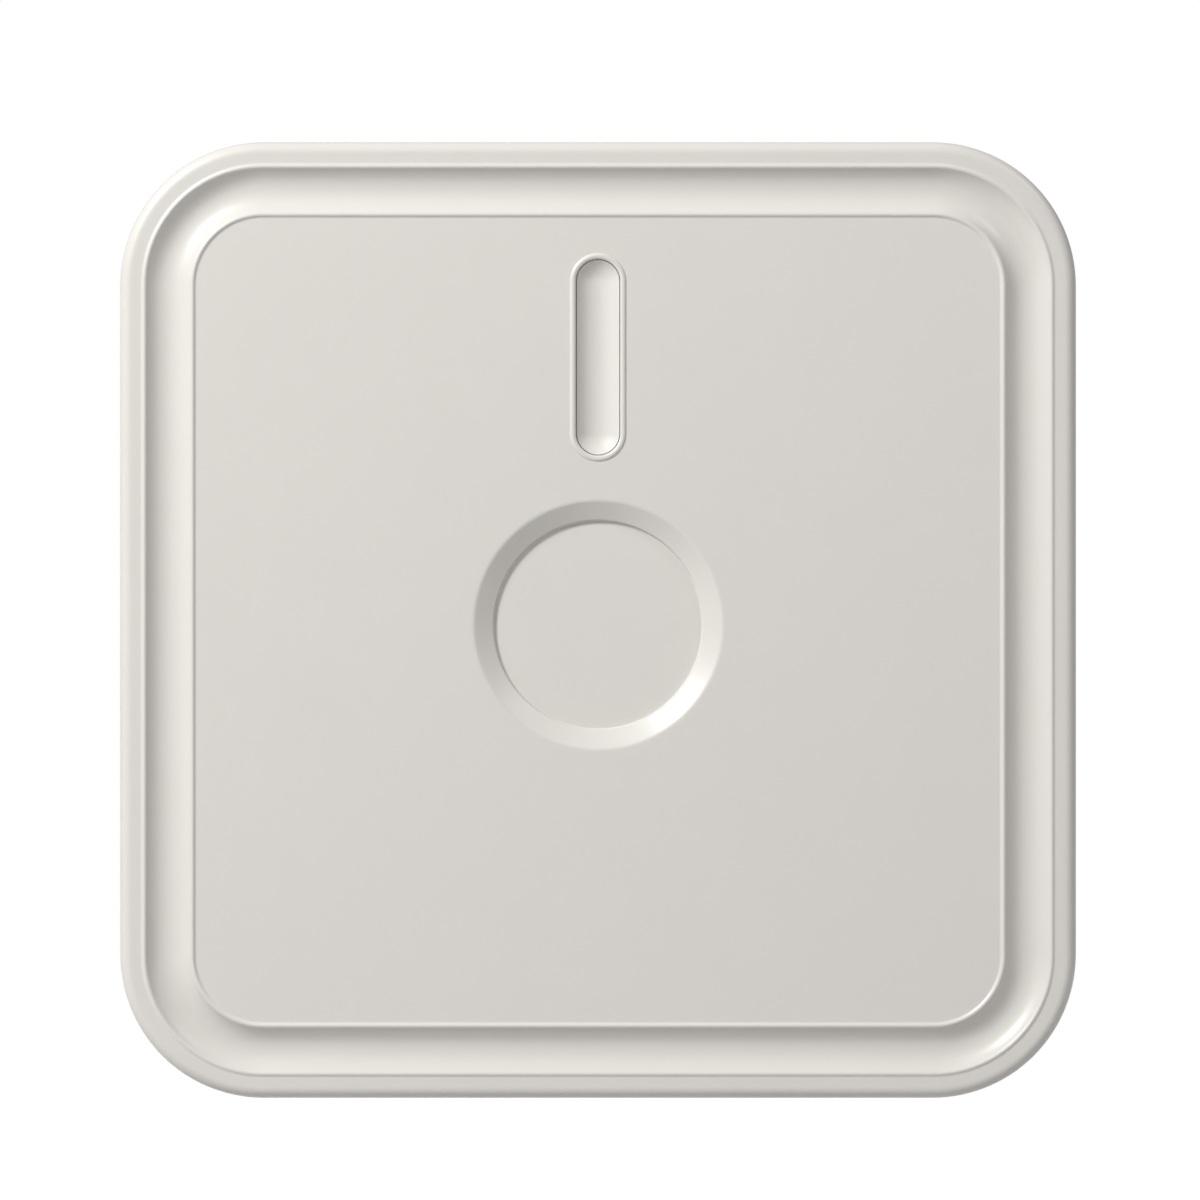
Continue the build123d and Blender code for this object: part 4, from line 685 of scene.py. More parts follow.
def repeated(name, single, places, material, slot, *nodes, seed=7):
    """One part set out at many places on the panel, as one plain piece. The part is used up.

    A place is X, Y, Z and, where it matters, the turn about Y. A turn of None is any turn.
    """
    chance = random.Random(seed)
    spots = bpy.data.meshes.new(name + "_places")
    spots.from_pydata([place[:3] for place in places], [], [])
    turns = spots.attributes.new("turn", "FLOAT", "POINT")
    for spot, place in zip(turns.data, places):
        turn = place[3] if len(place) > 3 else 0.0
        spot.value = chance.uniform(0, 2 * math.pi) if turn is None else turn
    tree, keys, given = node_group(name + "_layout", {"Part": "Object"})
    part = add_node(tree, "GeometryNodeObjectInfo", {"Object": given["Part"]}, "Geometry")
    turn = add_node(tree, "GeometryNodeInputNamedAttribute", {"Name": "turn"}, data_type="FLOAT")
    about = add_node(tree, "ShaderNodeCombineXYZ", {"Y": turn})
    inputs = {"Points": given["Geometry"], "Instance": part, "Rotation": about}
    close_group(tree, add_node(tree, "GeometryNodeInstanceOnPoints", inputs), given["Finish"])
    piece = shaped(object_from(spots, name), tree, keys, {"Part": single, "Finish": material})
    finished(piece, material, slot, *nodes)
    discard(single)


spots = ((-65.5, 81.5), (65.5, 81.5), (-65.5, -7.5), (65.5, -7.5), (18, 29))
places = [(x, board_y, z, None) for x, z in in_mm(spots)]
repeated("board_screws_fine", cross_screw(5.0), places, zinc_plate, "steel", "board_screws")
power_low, power_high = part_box("power_board")
lid_ear_y = -8.5 * mm
places = [
    (power_high.x - 3.6 * mm, board_y, power_high.z - 3.2 * mm, None),
    (power_high.x - 3.6 * mm, board_y, power_low.z + 3.6 * mm, None),
    (power_low.x + 16 * mm, board_y, power_low.z + 3.6 * mm, None),
    (60 * mm, lid_ear_y, -19.6 * mm, None),
    (46 * mm, lid_ear_y, -88.4 * mm, None),
]
repeated("power_screws_fine", cross_screw(5.0), places, zinc_plate, "steel", "power_screws", seed=11)
clamp_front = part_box("cable_clamp")[0].y
places = [(x * mm, clamp_front, -43 * mm, None) for x in (-6.5, 12.5)]
repeated("clamp_screws_fine", cross_screw(7.0), places, zinc_plate, "steel", "cable_clamp_screws", seed=5)


# Main board. Glass-cloth board under glossy green lacquer, with copper tracks that show through it,
# tinned holes, and small parts soldered wherever nothing larger stands.
board_grid = 0.635 * mm
tray_travel = 12 * mm  # the card tray slides out over the board
look_from = -36 * mm  # between the cover and all that stands on the boards
jitter = 0.3  # how far a spot strays, as a share of the pitch
track_root = 0.02 * mm
track_thickness = 0.03 * mm
shortest_track = 4 * mm


def ripple(place, axis, pitch, top=0.0):
    """A wave along one axis, with a crest at that place."""
    past = calculated("SUBTRACT", along(place, axis), top)
    return calculated("COSINE", calculated("MULTIPLY", past, 2 * math.pi / pitch))


def added(first, second, share=1.0):
    """The first value plus a share of the second."""
    return calculated("MULTIPLY_ADD", second, share, first)


def board_lacquer(name, colour, roughness=0.3):
    """Lacquer over glass cloth: the weave shows as a faint relief and the colour is cloudy."""
    material, shader, place = new_material(name)
    weave = added(ripple(place, "X", 0.9 * mm), ripple(place, "Z", 0.9 * mm))
    clouds = mottled(place, 90, 5.0, 0.6)
    tone = shaded(clouds, colour, 0.22)
    gloss = between(clouds, roughness - 0.05, roughness + 0.08)
    shader.inputs["Coat Weight"].default_value = 0.35
    shader.inputs["Coat Roughness"].default_value = 0.12
    painted(shader, tone, gloss, added(clouds, weave, 0.3), 0.15, 0.02 * mm)
    return material


def standing_parts():
    """All but the cover, the housing and the boards, as one tree to look for free spots with."""
    bm = bmesh.new()
    left_out = ("front_cover", "light_lens", "rear_housing", "main_board", "radio_board", "cellular_board")
    for node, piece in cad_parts.items():
        if node not in left_out:
            bm.from_mesh(piece.data)
    low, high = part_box("sim_tray")
    block(bm, (low.x - tray_travel, low.y, low.z), high)
    tree = BVHTree.FromBMesh(bm)
    bm.free()
    return tree


standing = standing_parts()


def free_spots(low, high, front, pitch, room, seed):
    """Jittered places on a board with nothing in front of them for that room all round."""
    chance = random.Random(seed)
    back = Vector((0, 1, 0))
    spots = []
    x = low[0]
    while x < high[0]:
        z = low[1]
        while z < high[1]:
            px = round((x + chance.uniform(-jitter, jitter) * pitch) / board_grid) * board_grid
            pz = round((z + chance.uniform(-jitter, jitter) * pitch) / board_grid) * board_grid
            around = [(px + a * room, look_from, pz + b * room) for a in (-1, 0, 1) for b in (-1, 0, 1)]
            hits = [standing.ray_cast(Vector(eye), back, front - look_from)[0] for eye in around]
            if not any(hits) and low[0] < px < high[0] and low[1] < pz < high[1]:
                spots.append((px, pz))
            z += pitch
        x += pitch
    return spots


def track(bm, points, width, front):
    """A flat copper track between points given in X and Z."""
    for a, b in zip(points, points[1:]):
        way = (Vector(b) - Vector(a)).normalized() * width / 2
        side = way.orthogonal()
        a, b = Vector(a) - way, Vector(b) + way
        corners = (a - side, b - side, b + side, a + side)
        bar(bm, [add_loop(bm, corners, y) for y in (front + track_root, front - track_thickness)])


def routed(spots, count, reach, seed):
    """Tracks between neighbouring spots, straight and then slanting, none across another."""
    chance = random.Random(seed)
    cell, tries = 0.6 * mm, 40 * count
    cells, ends, routes = set(), [], []
    for _ in range(tries):
        if len(routes) == count:
            break
        a, b = chance.sample(spots, 2)
        dx, dz = b[0] - a[0], b[1] - a[1]
        if not shortest_track < math.hypot(dx, dz) < reach or max(ends.count(a), ends.count(b)) > 1:
            continue
        if abs(dx) < abs(dz):
            bend = (a[0], b[1] - math.copysign(abs(dx), dz))
        else:
            bend = (b[0] - math.copysign(abs(dz), dx), a[1])
        covered = set()
        for (x0, z0), (x1, z1) in ((a, bend), (bend, b)):
            steps = int(math.hypot(x1 - x0, z1 - z0) / (cell / 2)) + 1
            for s in range(steps + 1):
                x, z = x0 + (x1 - x0) * s / steps, z0 + (z1 - z0) * s / steps
                covered.add((round(x / cell), round(z / cell)))
        if covered & cells:
            continue
        cells |= {(x + i, z + j) for x, z in covered for i in (-1, 0, 1) for j in (-1, 0, 1)}
        ends += [a, b]
        routes.append((a, bend, b))
    return routes


def boxes(bm, *rows):
    """Blocks on a board, in millimetres: from X to X, the height, from Z to Z, and any lift."""
    for x0, x1, height, z0, z1, *lift in rows:
        foot = -lift[0] if lift else 0
        block(bm, (x0 * mm, -height * mm, z0 * mm), (x1 * mm, foot * mm, z1 * mm))


def small_turning(name, profile, steps, closed=False):
    """A small turned part at the origin that stands towards the front."""
    return made(name, turned, profile, (0, 0, 0), (0, -1, 0), steps, closed)


green_lacquer = board_lacquer("green_lacquer", (0.012, 0.085, 0.035))
green_copper = board_lacquer("green_over_copper", (0.03, 0.16, 0.065), 0.22)
solder = plated_metal("solder", (0.62, 0.62, 0.60), 0.26, scale=2200, relief=0.15)
black_glaze = moulded_plastic("black_glaze", (0.012, 0.012, 0.014), 0.25, 0.15 * mm, 0.05, 0.3)
fired_clay = moulded_plastic("fired_clay", (0.33, 0.22, 0.13), 0.45, 0.1 * mm, 0.15, 0.12)
dark_ferrite = moulded_plastic("dark_ferrite", (0.03, 0.03, 0.032), 0.6, 0.12 * mm, 0.4, 0.25)
small_parts = (  # the kind, its body's finish and box, and the box that its two ends fill beside that
    ("resistors", black_glaze, (-0.6, 0.6, 0.42, -0.42, 0.42), (-0.85, 0.85, 0.4, -0.44, 0.44)),
    ("capacitors", fired_clay, (-0.5, 0.5, 0.72, -0.48, 0.48), (-0.85, 0.85, 0.74, -0.5, 0.5)),
    ("coils", dark_ferrite, (-0.7, 0.7, 0.95, -0.8, 0.8), (-1.05, 1.05, 0.6, -0.7, 0.7)),
)


def furnish(board, copper, slot, front, low, high, pitch, seed, tracks):
    """Tracks, tinned holes and small soldered parts in a board's free places."""
    chance = random.Random(seed)
    spots = free_spots(low, high, front, pitch, 1.3 * mm, seed)
    chance.shuffle(spots)
    half = len(spots) // 2
    holes, sites = spots[:half], spots[half:]
    bm = bmesh.new()
    for route in routed(holes, tracks, 26 * mm, seed):
        track(bm, route, chance.choice((0.25, 0.3, 0.5)) * mm, front)
    finished(piece_from(bm, board + "_tracks"), copper, slot)
    single = small_turning("tinned_hole", [(0.2, 0), (0.42, 0), (0.38, 0.05), (0.2, 0.05)], 10, True)
    repeated(board + "_holes", single, [(x, front, z) for x, z in holes], solder, "tin_plate")
    places = [(x, front, z, chance.choice((0, math.pi / 2))) for x, z in sites]
    for number, (kind, finish, core, (x0, x1, *cap)) in enumerate(small_parts):
        some = places[number::3]
        if some:
            repeated(f"{board}_{kind}", made("core", boxes, core), some, finish, "black_epoxy")
            ends = made("ends", boxes, (x0, core[0], *cap), (core[1], x1, *cap))
            repeated(f"{board}_{kind}_ends", ends, some, solder, "tin_plate")


def printed_frame(bm, node, margin):
    """A printed line round a part, with a tick at its first corner."""
    low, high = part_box(node)
    x0, x1 = low.x - margin, high.x + margin
    z0, z1 = max(low.z - margin, -11.4 * mm), high.z + margin
    tick = z1 + 0.5 * mm
    upright, level = 0.01 * mm, 0.012 * mm  # how far the lines that cross stand proud
    for points, proud in (
        (((x0, z0), (x0, z1)), upright),
        (((x1, z0), (x1, z1)), upright),
        (((x0, z1), (x1, z1)), level),
        (((x0, z0), (x1, z0)), level),
        (((x0 - 0.5 * mm, tick), (x0 + 0.8 * mm, tick)), upright),
    ):
        track(bm, points, 0.15 * mm, board_y - proud)


def board_print(bm):
    framed = ["zone_terminals", "output_terminals", "ethernet_jack", "sim_holder", "tamper_switch"]
    framed += ["light_shroud", "board_capacitors", "radio_board", "cellular_board", "sounder"]
    for node in framed:
        printed_frame(bm, node, 0.7 * mm)
    for node in ("processor", "dip_switch_body"):
        printed_frame(bm, node, 1.6 * mm)


dress(green_lacquer, "main_board")
corners = ((-67 * mm, -9 * mm), (67 * mm, 84 * mm))
furnish("main_board", green_copper, "board_green", board_y, *corners, 3.4 * mm, 21, 130)
print_white = moulded_plastic("print_white", (0.62, 0.62, 0.60), 0.6, 0.1 * mm, 0.1, 0.06)
finished(made("board_print", board_print), print_white, "board_green")


# Screw terminals. Two seven-way blocks in green nylon along the board's lower edge, each way with a
# tinned clamp in its mouth and a slotted brass screw, nickel plated, in its well.
terminal_nylon = moulded_plastic("terminal_nylon", (0.02, 0.19, 0.075), 0.36, 0.3 * mm, 0.12, 0.08)
nickel = plated_metal("nickel", (0.60, 0.58, 0.54), 0.24, scale=1600, relief=0.06)
dress(terminal_nylon, "zone_terminals", "output_terminals")
ways = [side * (22 + 5 * (way + 0.5)) * mm for side in (-1, 1) for way in range(7)]
profile = [(0, 0), (1.55, 0), (1.8, 0.25), (1.8, 2), (0, 2)]
screw = made("slotted_screw", turned, profile, (0, 0, 0), (0, 1, 0), 32)
screw = carved(screw, made("slot", block, *in_mm(((-3, -1, -0.3), (3, 0.8, 0.3)))))
chance = random.Random(4)
head_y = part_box("terminal_screws")[0].y
places = [(x, head_y, -7 * mm, chance.uniform(-0.5, 0.5)) for x in ways]
repeated("terminal_screws_fine", screw, places, nickel, "steel", "terminal_screws")
clamp = made("wire_clamp", boxes, (-1.7, 1.7, 5.15, 0, 6.3, 4.85), (-1.7, 1.7, 1.85, 0, 6.3, 1.5))
repeated("wire_clamps", clamp, [(x, board_y, -12 * mm) for x in ways], solder, "tin_plate")


# Network socket. A case folded from tinned sheet round a black moulding, with eight gilt contacts
# that slope into its mouth, a dovetailed seam and two spring tongues on its front.
tin_plate = plated_metal("tin_plate", (0.42, 0.425, 0.42), 0.36, (1, 1, 0.12), 1200, 0.1, 0.12)
gilt = plated_metal("gilt", (0.72, 0.52, 0.20), 0.2, scale=2000, relief=0.04)
black_nylon = moulded_plastic("black_nylon", (0.018, 0.018, 0.02), 0.42, 0.25 * mm, 0.2, 0.2)
dress(tin_plate, "ethernet_jack")
contact = made("contact", rod, *in_mm(((0, -1.85, 1.2), (0, -4.4, 9))), 0.17 * mm, 10)
places = [((way - 3.5) * 1.02 * mm, board_y, -12 * mm) for way in range(8)]
repeated("jack_contacts", contact, places, gilt, "brass")
insert = made("jack_insert", boxes, (-5.9, 5.9, 9.5, 1.5, 2.9, 1.65))
finished(insert, black_nylon, "black_plastic")
jack_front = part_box("ethernet_jack")[0].y
tongue_middles = (-5.0, 5.0)


def on_jack(bm, x0, x1, z0, z1, proud):
    """A thin block on the socket's front, in millimetres."""
    return block(bm, (x0 * mm, jack_front - proud, z0 * mm), (x1 * mm, jack_front + 0.02 * mm, z1 * mm))


def jack_seams(bm):
    """The dark lines of the case's seam and of the slits beside its tongues."""
    lines = [(-0.09, 0.09, -3.5, 8.7), (-1.3, -0.09, 5.9, 6.08), (0.09, 1.3, 0.9, 1.08)]
    slits = [middle + side for middle in tongue_middles for side in (-1.35, 1.35)]
    for line in lines + [(x - 0.1, x + 0.1, -11, -4.5) for x in slits]:
        on_jack(bm, *line, 0.03 * mm)


def jack_springs(bm):
    """The two tongues, each sprung out at its lower end."""
    for middle in tongue_middles:
        for v in on_jack(bm, middle - 1.1, middle + 1.1, -10.4, -4.7, 0.35 * mm):
            if v.co.z > -5 * mm:
                v.co.y = max(v.co.y, jack_front - 0.04 * mm)


finished(made("jack_seams", jack_seams), black_nylon, "black_plastic")
finished(made("jack_springs", jack_springs), tin_plate, "tin_plate")


# Plug-in boards. The radio on the left and the cellular set on the right, each on blue lacquered
# board over two pin strips, whose tinned pins come through it, with a perforated tin can on top.
module_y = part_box("radio_board")[0].y
module_margin = Vector((1.2 * mm, 0, 1.2 * mm))
pin_pitch = 2.5 * mm
blue_lacquer = board_lacquer("blue_lacquer", (0.008, 0.035, 0.12))
blue_copper = board_lacquer("blue_over_copper", (0.02, 0.075, 0.23), 0.22)
dress(blue_lacquer, "radio_board", "cellular_board")
dress(black_nylon, "radio_header", "cellular_header")
for node, seed in (("radio_board", 31), ("cellular_board", 43)):
    low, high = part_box(node)
    corners = ((low + module_margin).xz, (high - module_margin).xz)
    furnish(node, blue_copper, "module_blue", module_y, *corners, 2.6 * mm, seed, 26)
places = []
for node in ("radio_header", "cellular_header"):
    low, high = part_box(node)
    for x in (low.x + pin_pitch / 2, high.x - pin_pitch / 2):
        places += [(x, module_y, low.z + (pin + 0.5) * pin_pitch) for pin in range(10)]
pin = small_turning("pin_end", [(0.75, 0), (0.35, 0.35), (0.3, 0.8), (0, 0.9)], 14)
repeated("pin_ends", pin, places, solder, "tin_plate")


def hole_cutter():
    """The node tree that cuts a field of round holes through a can's top."""
    sizes = {"Columns": "Int", "Rows": "Int", "Field width": "Float", "Field height": "Float"}
    tree, keys, given = node_group("perforated_top", {**sizes, "Hole radius": "Float", "Middle": "Vector"})
    inputs = {"Size X": given["Field width"], "Size Y": given["Field height"]}
    inputs |= {"Vertices X": given["Columns"], "Vertices Y": given["Rows"]}
    field = add_node(tree, "GeometryNodeMeshGrid", inputs)
    inputs = {"Vertices": 12, "Depth": 2 * mm, "Radius": given["Hole radius"]}
    punch = add_node(tree, "GeometryNodeMeshCylinder", inputs)
    punches = add_node(tree, "GeometryNodeInstanceOnPoints", {"Points": field, "Instance": punch})
    inputs = {"Geometry": punches, "Translation": given["Middle"], "Rotation": (math.radians(90), 0, 0)}
    stood = add_node(tree, "GeometryNodeTransform", inputs)
    tool = add_node(tree, "GeometryNodeRealizeInstances", {"Geometry": stood})
    inputs = {"Mesh 1": given["Geometry"], "Mesh 2": tool}
    cut = add_node(tree, "GeometryNodeMeshBoolean", inputs, operation="DIFFERENCE")
    close_group(tree, cut, given["Finish"])
    return tree, keys


def middle_of(node):
    """A node's middle in X and Z, and half its width and its height."""
    low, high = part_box(node)
    return (low.x + high.x) / 2, (low.z + high.z) / 2, (high.x - low.x) / 2, (high.z - low.z) / 2


def perforated_can(name, node, columns, rows, pitch=2.6 * mm):
    """A drawn tin can with soft edges and a field of round holes in its top."""
    x, z, wide, tall = middle_of(node)
    front, foot = (corner.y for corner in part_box(node))
    bm = bmesh.new()

    def rim(inset, y):
        corner = max(0.4 * mm, 1.5 * mm - inset)
        return add_loop(bm, square_loop(wide - inset, tall - inset, corner, x, z, steps=6), y)

    outer = [rim(0, foot), rim(0, front + 0.5 * mm), rim(0.15 * mm, front + 0.15 * mm), rim(0.5 * mm, front)]
    inner = [rim(0.4 * mm, foot), rim(0.4 * mm, front + 0.4 * mm)]
    skin(bm, outer)
    join_loops(bm, *inner)
    join_loops(bm, inner[0], outer[0])
    bm.faces.new(outer[-1])
    bm.faces.new(inner[-1])
    values = {"Columns": columns, "Rows": rows, "Hole radius": 0.55 * mm, "Middle": (x, front, z)}
    values |= {"Field width": (columns - 1) * pitch, "Field height": (rows - 1) * pitch, "Finish": tin_plate}
    can = shaped(piece_from(bm, name), *hole_cutter(), values)
    finished(can, tin_plate, "tin_plate", node)


perforated_can("radio_can", "radio_shield", 7, 9)
perforated_can("cellular_can", "cellular_shield", 8, 8)


# Antennas. Two strips stamped from tinned sheet, each bent up on three legs and soldered beside its
# plug-in board.
dress(tin_plate, "radio_antenna", "cellular_antenna")


# Card holder. A stamped tin case soldered down by four tabs, with a black tray that slides out to the
# left and a small white card lying in it.
dress(tin_plate, "sim_holder")
dress(black_nylon, "sim_tray")
dress(moulded_plastic("card_plastic", (0.60, 0.60, 0.585), 0.35, 0.4 * mm, 0.05, 0.02), "sim_card")
low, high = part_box("sim_holder")
columns, rows = (low.x + 4 * mm, high.x - 4 * mm), (low.z - 0.6 * mm, high.z + 0.6 * mm)
tab = made("tab", boxes, (-0.9, 0.9, 0.3, -0.7, 0.7), (-0.7, 0.7, 0.42, -0.45, 0.45))
repeated("holder_tabs", tab, [(x, board_y, z) for x in columns for z in rows], solder, "tin_plate")


# Chips. The processor and two memory chips, in matt black epoxy with a moulded dimple by the first
# leg, on rows of tinned legs bent out and down to the board. The slide switches have the same legs.
black_epoxy = moulded_plastic("black_epoxy", (0.016, 0.016, 0.018), 0.55, 0.12 * mm, 0.3, 0.2)
dress(black_epoxy, "processor", "memory_chips")
chip_top = board_y - 1.2 * mm


def bent_leg(bm):
    """A flat leg that comes out of a chip's side towards +X and down to the board."""
    outline = [(-0.1, -0.7), (0.32, -0.7), (0.55, -0.15), (1.1, -0.15)]
    outline += [(1.1, -0.02), (0.48, -0.02), (0.25, -0.57), (-0.1, -0.57)]
    bar(bm, [[bm.verts.new((x * mm, y * mm, z * mm)) for x, y in outline] for z in (-0.17, 0.17)])


def legs_round(x, z, half_wide, half_tall, pitch, across, up):
    """Places for legs along the top and bottom (across) and the sides (up) of a chip."""
    quarter = math.pi / 2
    places = []
    for number in range(across):
        out = x + (number - (across - 1) / 2) * pitch
        places += [(out, board_y, z + half_tall, -quarter), (out, board_y, z - half_tall, quarter)]
    for number in range(up):
        out = z + (number - (up - 1) / 2) * pitch
        places += [(x + half_wide, board_y, out, 0.0), (x - half_wide, board_y, out, math.pi)]
    return places


chip_x, chip_z, chip_half, _ = middle_of("processor")
memory_x, memory_z, _, memory_reach = middle_of("memory_chips")
memory_half = 2.25 * mm
_, switch_z, _, switch_half = middle_of("dip_switch_body")
places = legs_round(chip_x, chip_z, chip_half, chip_half, 0.8 * mm, 16, 16)
for side in (-1, 1):
    z = memory_z + side * (memory_reach - memory_half)
    places += legs_round(memory_x, z, 0, memory_half, 1.27 * mm, 6, 0)
places += legs_round(-21.5 * mm, switch_z, 0, switch_half, 2.54 * mm, 4, 0)
repeated("chip_legs", made("leg", bent_leg), places, solder, "tin_plate")


def chip_dimples(bm):
    """A thin ring by each chip's first leg, from its place, inner radius and steps."""
    spots = [(chip_x - chip_half + 1.5 * mm, chip_z + chip_half - 1.5 * mm, 0.5, 24)]
    low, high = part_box("memory_chips")
    spots += [(memory_x - 3.2 * mm, z, 0.3, 20) for z in (low.z + 3.6 * mm, high.z - 0.9 * mm)]
    for x, z, radius, steps in spots:
        ring = [(radius, 0), (radius + 0.1, 0), (radius + 0.1, 0.03), (radius, 0.03)]
        turned(bm, ring, (x, chip_top, z), (0, -1, 0), steps, True)


finished(made("chip_dimples", chip_dimples), black_glaze, "black_epoxy")


# Capacitor cans. Aluminium cans in a dark shrink sleeve, with a pale stripe down one side and a
# scored top. Two stand on the main board, two on the power board beside a box-shaped film capacitor.
sleeve_film = moulded_plastic("sleeve_film", (0.02, 0.025, 0.05), 0.28, 0.5 * mm, 0.08, 0.15)
can_aluminium = plated_metal("can_aluminium", (0.70, 0.71, 0.72), 0.28, scale=1500, relief=0.08)
stripe_grey = moulded_plastic("stripe_grey", (0.45, 0.46, 0.50), 0.3, 0.5 * mm, 0.06, 0.05)
film_box = moulded_plastic("film_box", (0.28, 0.16, 0.02), 0.4, 0.3 * mm, 0.1, 0.08)


def sleeve(bm, x, z, r, h):
    """The film over a can, with the crimp near its foot and the rolled edge at its top."""
    profile = [(0, 0), (r, 0), (r, 1.4), (r - 0.4, 2), (r, 2.6), (r, h - 0.5), (r - 0.15, h - 0.12)]
    profile += [(r - 0.5, h - 0.02), (r - 0.9, h - 0.05), (0, h - 0.3)]
    turned(bm, profile, (x, board_y, z), (0, -1, 0), 48)


def scored_top(bm, x, z, r, h):
    """The bare lid of a can, with three raised scores."""
    lid = [(0, h - 0.28), (r - 0.95, h - 0.28), (r - 0.95, h - 0.1), (0, h - 0.1)]
    turned(bm, lid, (x, board_y, z), (0, -1, 0), 48)
    for turn in (0, 120, 240):
        verts = block(bm, *in_mm(((-0.09, -0.02, 0.2 * r), (0.09, 0.02, 0.68 * r))))
        bmesh.ops.rotate(bm, verts=verts, matrix=Matrix.Rotation(math.radians(turn), 3, "Y"))
        bmesh.ops.translate(bm, verts=verts, vec=(x, board_y - (h - 0.1) * mm, z))


def stripe(bm, x, z, r, h):
    """The pale minus stripe, a thin bent patch up the can's left side."""
    inner, outer = (bow(out * mm, 2.6, 1, 10, x, z) for out in (r - 0.05, r + 0.02))
    ends = [add_loop(bm, inner + outer[::-1], board_y + y * mm) for y in (-2.8, 0.7 - h)]
    join_loops(bm, *ends)
    for end in ends:
        for step in range(10):
            bm.faces.new((end[step], end[step + 1], end[-2 - step], end[-1 - step]))


def cans(name, node, spots):
    """Cans at those places, with their radius and height in millimetres."""
    for build, part, material, nodes in (
        (stripe, "_stripes", stripe_grey, []),
        (sleeve, "_sleeves", sleeve_film, [node]),
        (scored_top, "_tops", can_aluminium, []),
    ):
        bm = bmesh.new()
        for spot in spots:
            build(bm, *spot)
        finished(piece_from(bm, name + part), material, "can_aluminium", *nodes)


def film_capacitor(bm):
    """A box with soft edges near the mains end of the power board."""
    x, z = power_high.x - 15.5 * mm, power_low.z + 4.5 * mm
    low = (x - 6.5 * mm, board_y - 11 * mm, z - 3 * mm)
    block(bm, low, (x + 6.5 * mm, board_y, z + 3 * mm))
    bmesh.ops.bevel(bm, geom=bm.edges[:], offset=0.35 * mm, segments=2, affect="EDGES")


cans("board_cans", "board_capacitors", [(-36 * mm, z * mm, 4, 9) for z in (13, 23)])
bulk = (power_low.x + 13.6 * mm, power_high.z - 9.6 * mm, 6.5, 15)
output = (power_low.x + 4.8 * mm, power_high.z - 18.6 * mm, 4, 12)
cans("power_cans", "power_capacitors", [bulk, output])
finished(made("film_capacitor", film_capacitor), film_box, "can_aluminium")


# Status lights and their shroud. Four white lamp bodies with clear domes, at the feet of four
# chambers in a tall white moulding that keeps their light apart.
clear_epoxy = moulded_plastic("clear_epoxy", (0.66, 0.66, 0.60), 0.12, 0.5 * mm, 0.02, 0.03)
lamp_white = moulded_plastic("lamp_white", (0.62, 0.62, 0.60), 0.45, 0.2 * mm, 0.1, 0.02)
lamp_pitch = 10 * mm
places = [(0, board_y, slot_z + (number - 1.5) * lamp_pitch) for number in range(4)]
body = made("lamp_body", boxes, (-1.5, 1.5, 1.3, -1.5, 1.5))
repeated("lamp_bodies", body, places, lamp_white, "led_plastic", "status_leds")
dome = [*bow(1.1, 0, math.pi / 2, 10, 0, 1.28)[:-1], (0, 2.38)]
repeated("lamp_domes", small_turning("dome", dome, 24), places, clear_epoxy, "led_plastic")
dress(lamp_white, "light_shroud")


# Sounder. A round black moulding, soldered down by two pins, with a stepped, ribbed lid and one
# sound hole in its middle.
sounder_x, sounder_z, _, _ = middle_of("sounder")
lid = [(0, 0), (11, 0), (11, 7.1), (10.7, 7.4), (9.9, 7.45), (9.7, 7.9), (9.5, 8.0)]
for ring in (8.2, 6.8, 5.4, 4.0):
    lid += [(ring + 0.5, 8.0), (ring + 0.35, 7.75), (ring - 0.35, 7.75), (ring - 0.5, 8.0)]
lid += [(1.9, 8.0), (1.6, 7.8), (1.6, 5.6), (0, 5.5)]
foot = (sounder_x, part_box("sounder")[1].y, sounder_z)
case = made("sounder_case", turned, lid, foot, (0, -1, 0), 72)
finished(case, black_nylon, "black_plastic", "sounder")


# Tamper switch. A black moulded switch on the board's right edge, whose spring-steel lever is held
# down by the post of the closed cover and lifts as the cover opens.
spring_steel = plated_metal("spring_steel", (0.36, 0.37, 0.39), 0.3, (1, 1, 0.1), 1500, 0.08)
dress(black_nylon, "tamper_switch")
dress(spring_steel, "tamper_lever")


# Push buttons. Two square switches with a tin face over a black base, held by four rivets each, one
# with a red plunger and one with a white one.
button_red = moulded_plastic("button_red", (0.34, 0.025, 0.02), 0.35, 0.2 * mm, 0.1, 0.06)
button_white = moulded_plastic("button_white", (0.58, 0.58, 0.56), 0.35, 0.2 * mm, 0.1, 0.03)
dress(tin_plate, "button_bodies")
dress(button_red, "reset_button")
dress(button_white, "enrol_button")
button_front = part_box("button_bodies")[0].y
middles = ((-25.5 * mm, 22 * mm), (-16.5 * mm, 22 * mm))
corners = [(a * mm, b * mm) for a in (-2.3, 2.3) for b in (-2.3, 2.3)]
places = [(x + a, button_front, z + b) for x, z in middles for a, b in corners]
rivet = small_turning("rivet", [(0.5, 0), (0.45, 0.15), (0, 0.2)], 16)
repeated("button_rivets", rivet, places, black_nylon, "black_plastic")


# Slide switches. A red moulding soldered down by eight legs, with four white sliders, each in its
# own slot.
switch_red = moulded_plastic("switch_red", (0.36, 0.02, 0.02), 0.38, 0.25 * mm, 0.12, 0.06)
dress(switch_red, "dip_switch_body")
dress(button_white, *(f"dip_slider_{number}" for number in range(1, 5)))


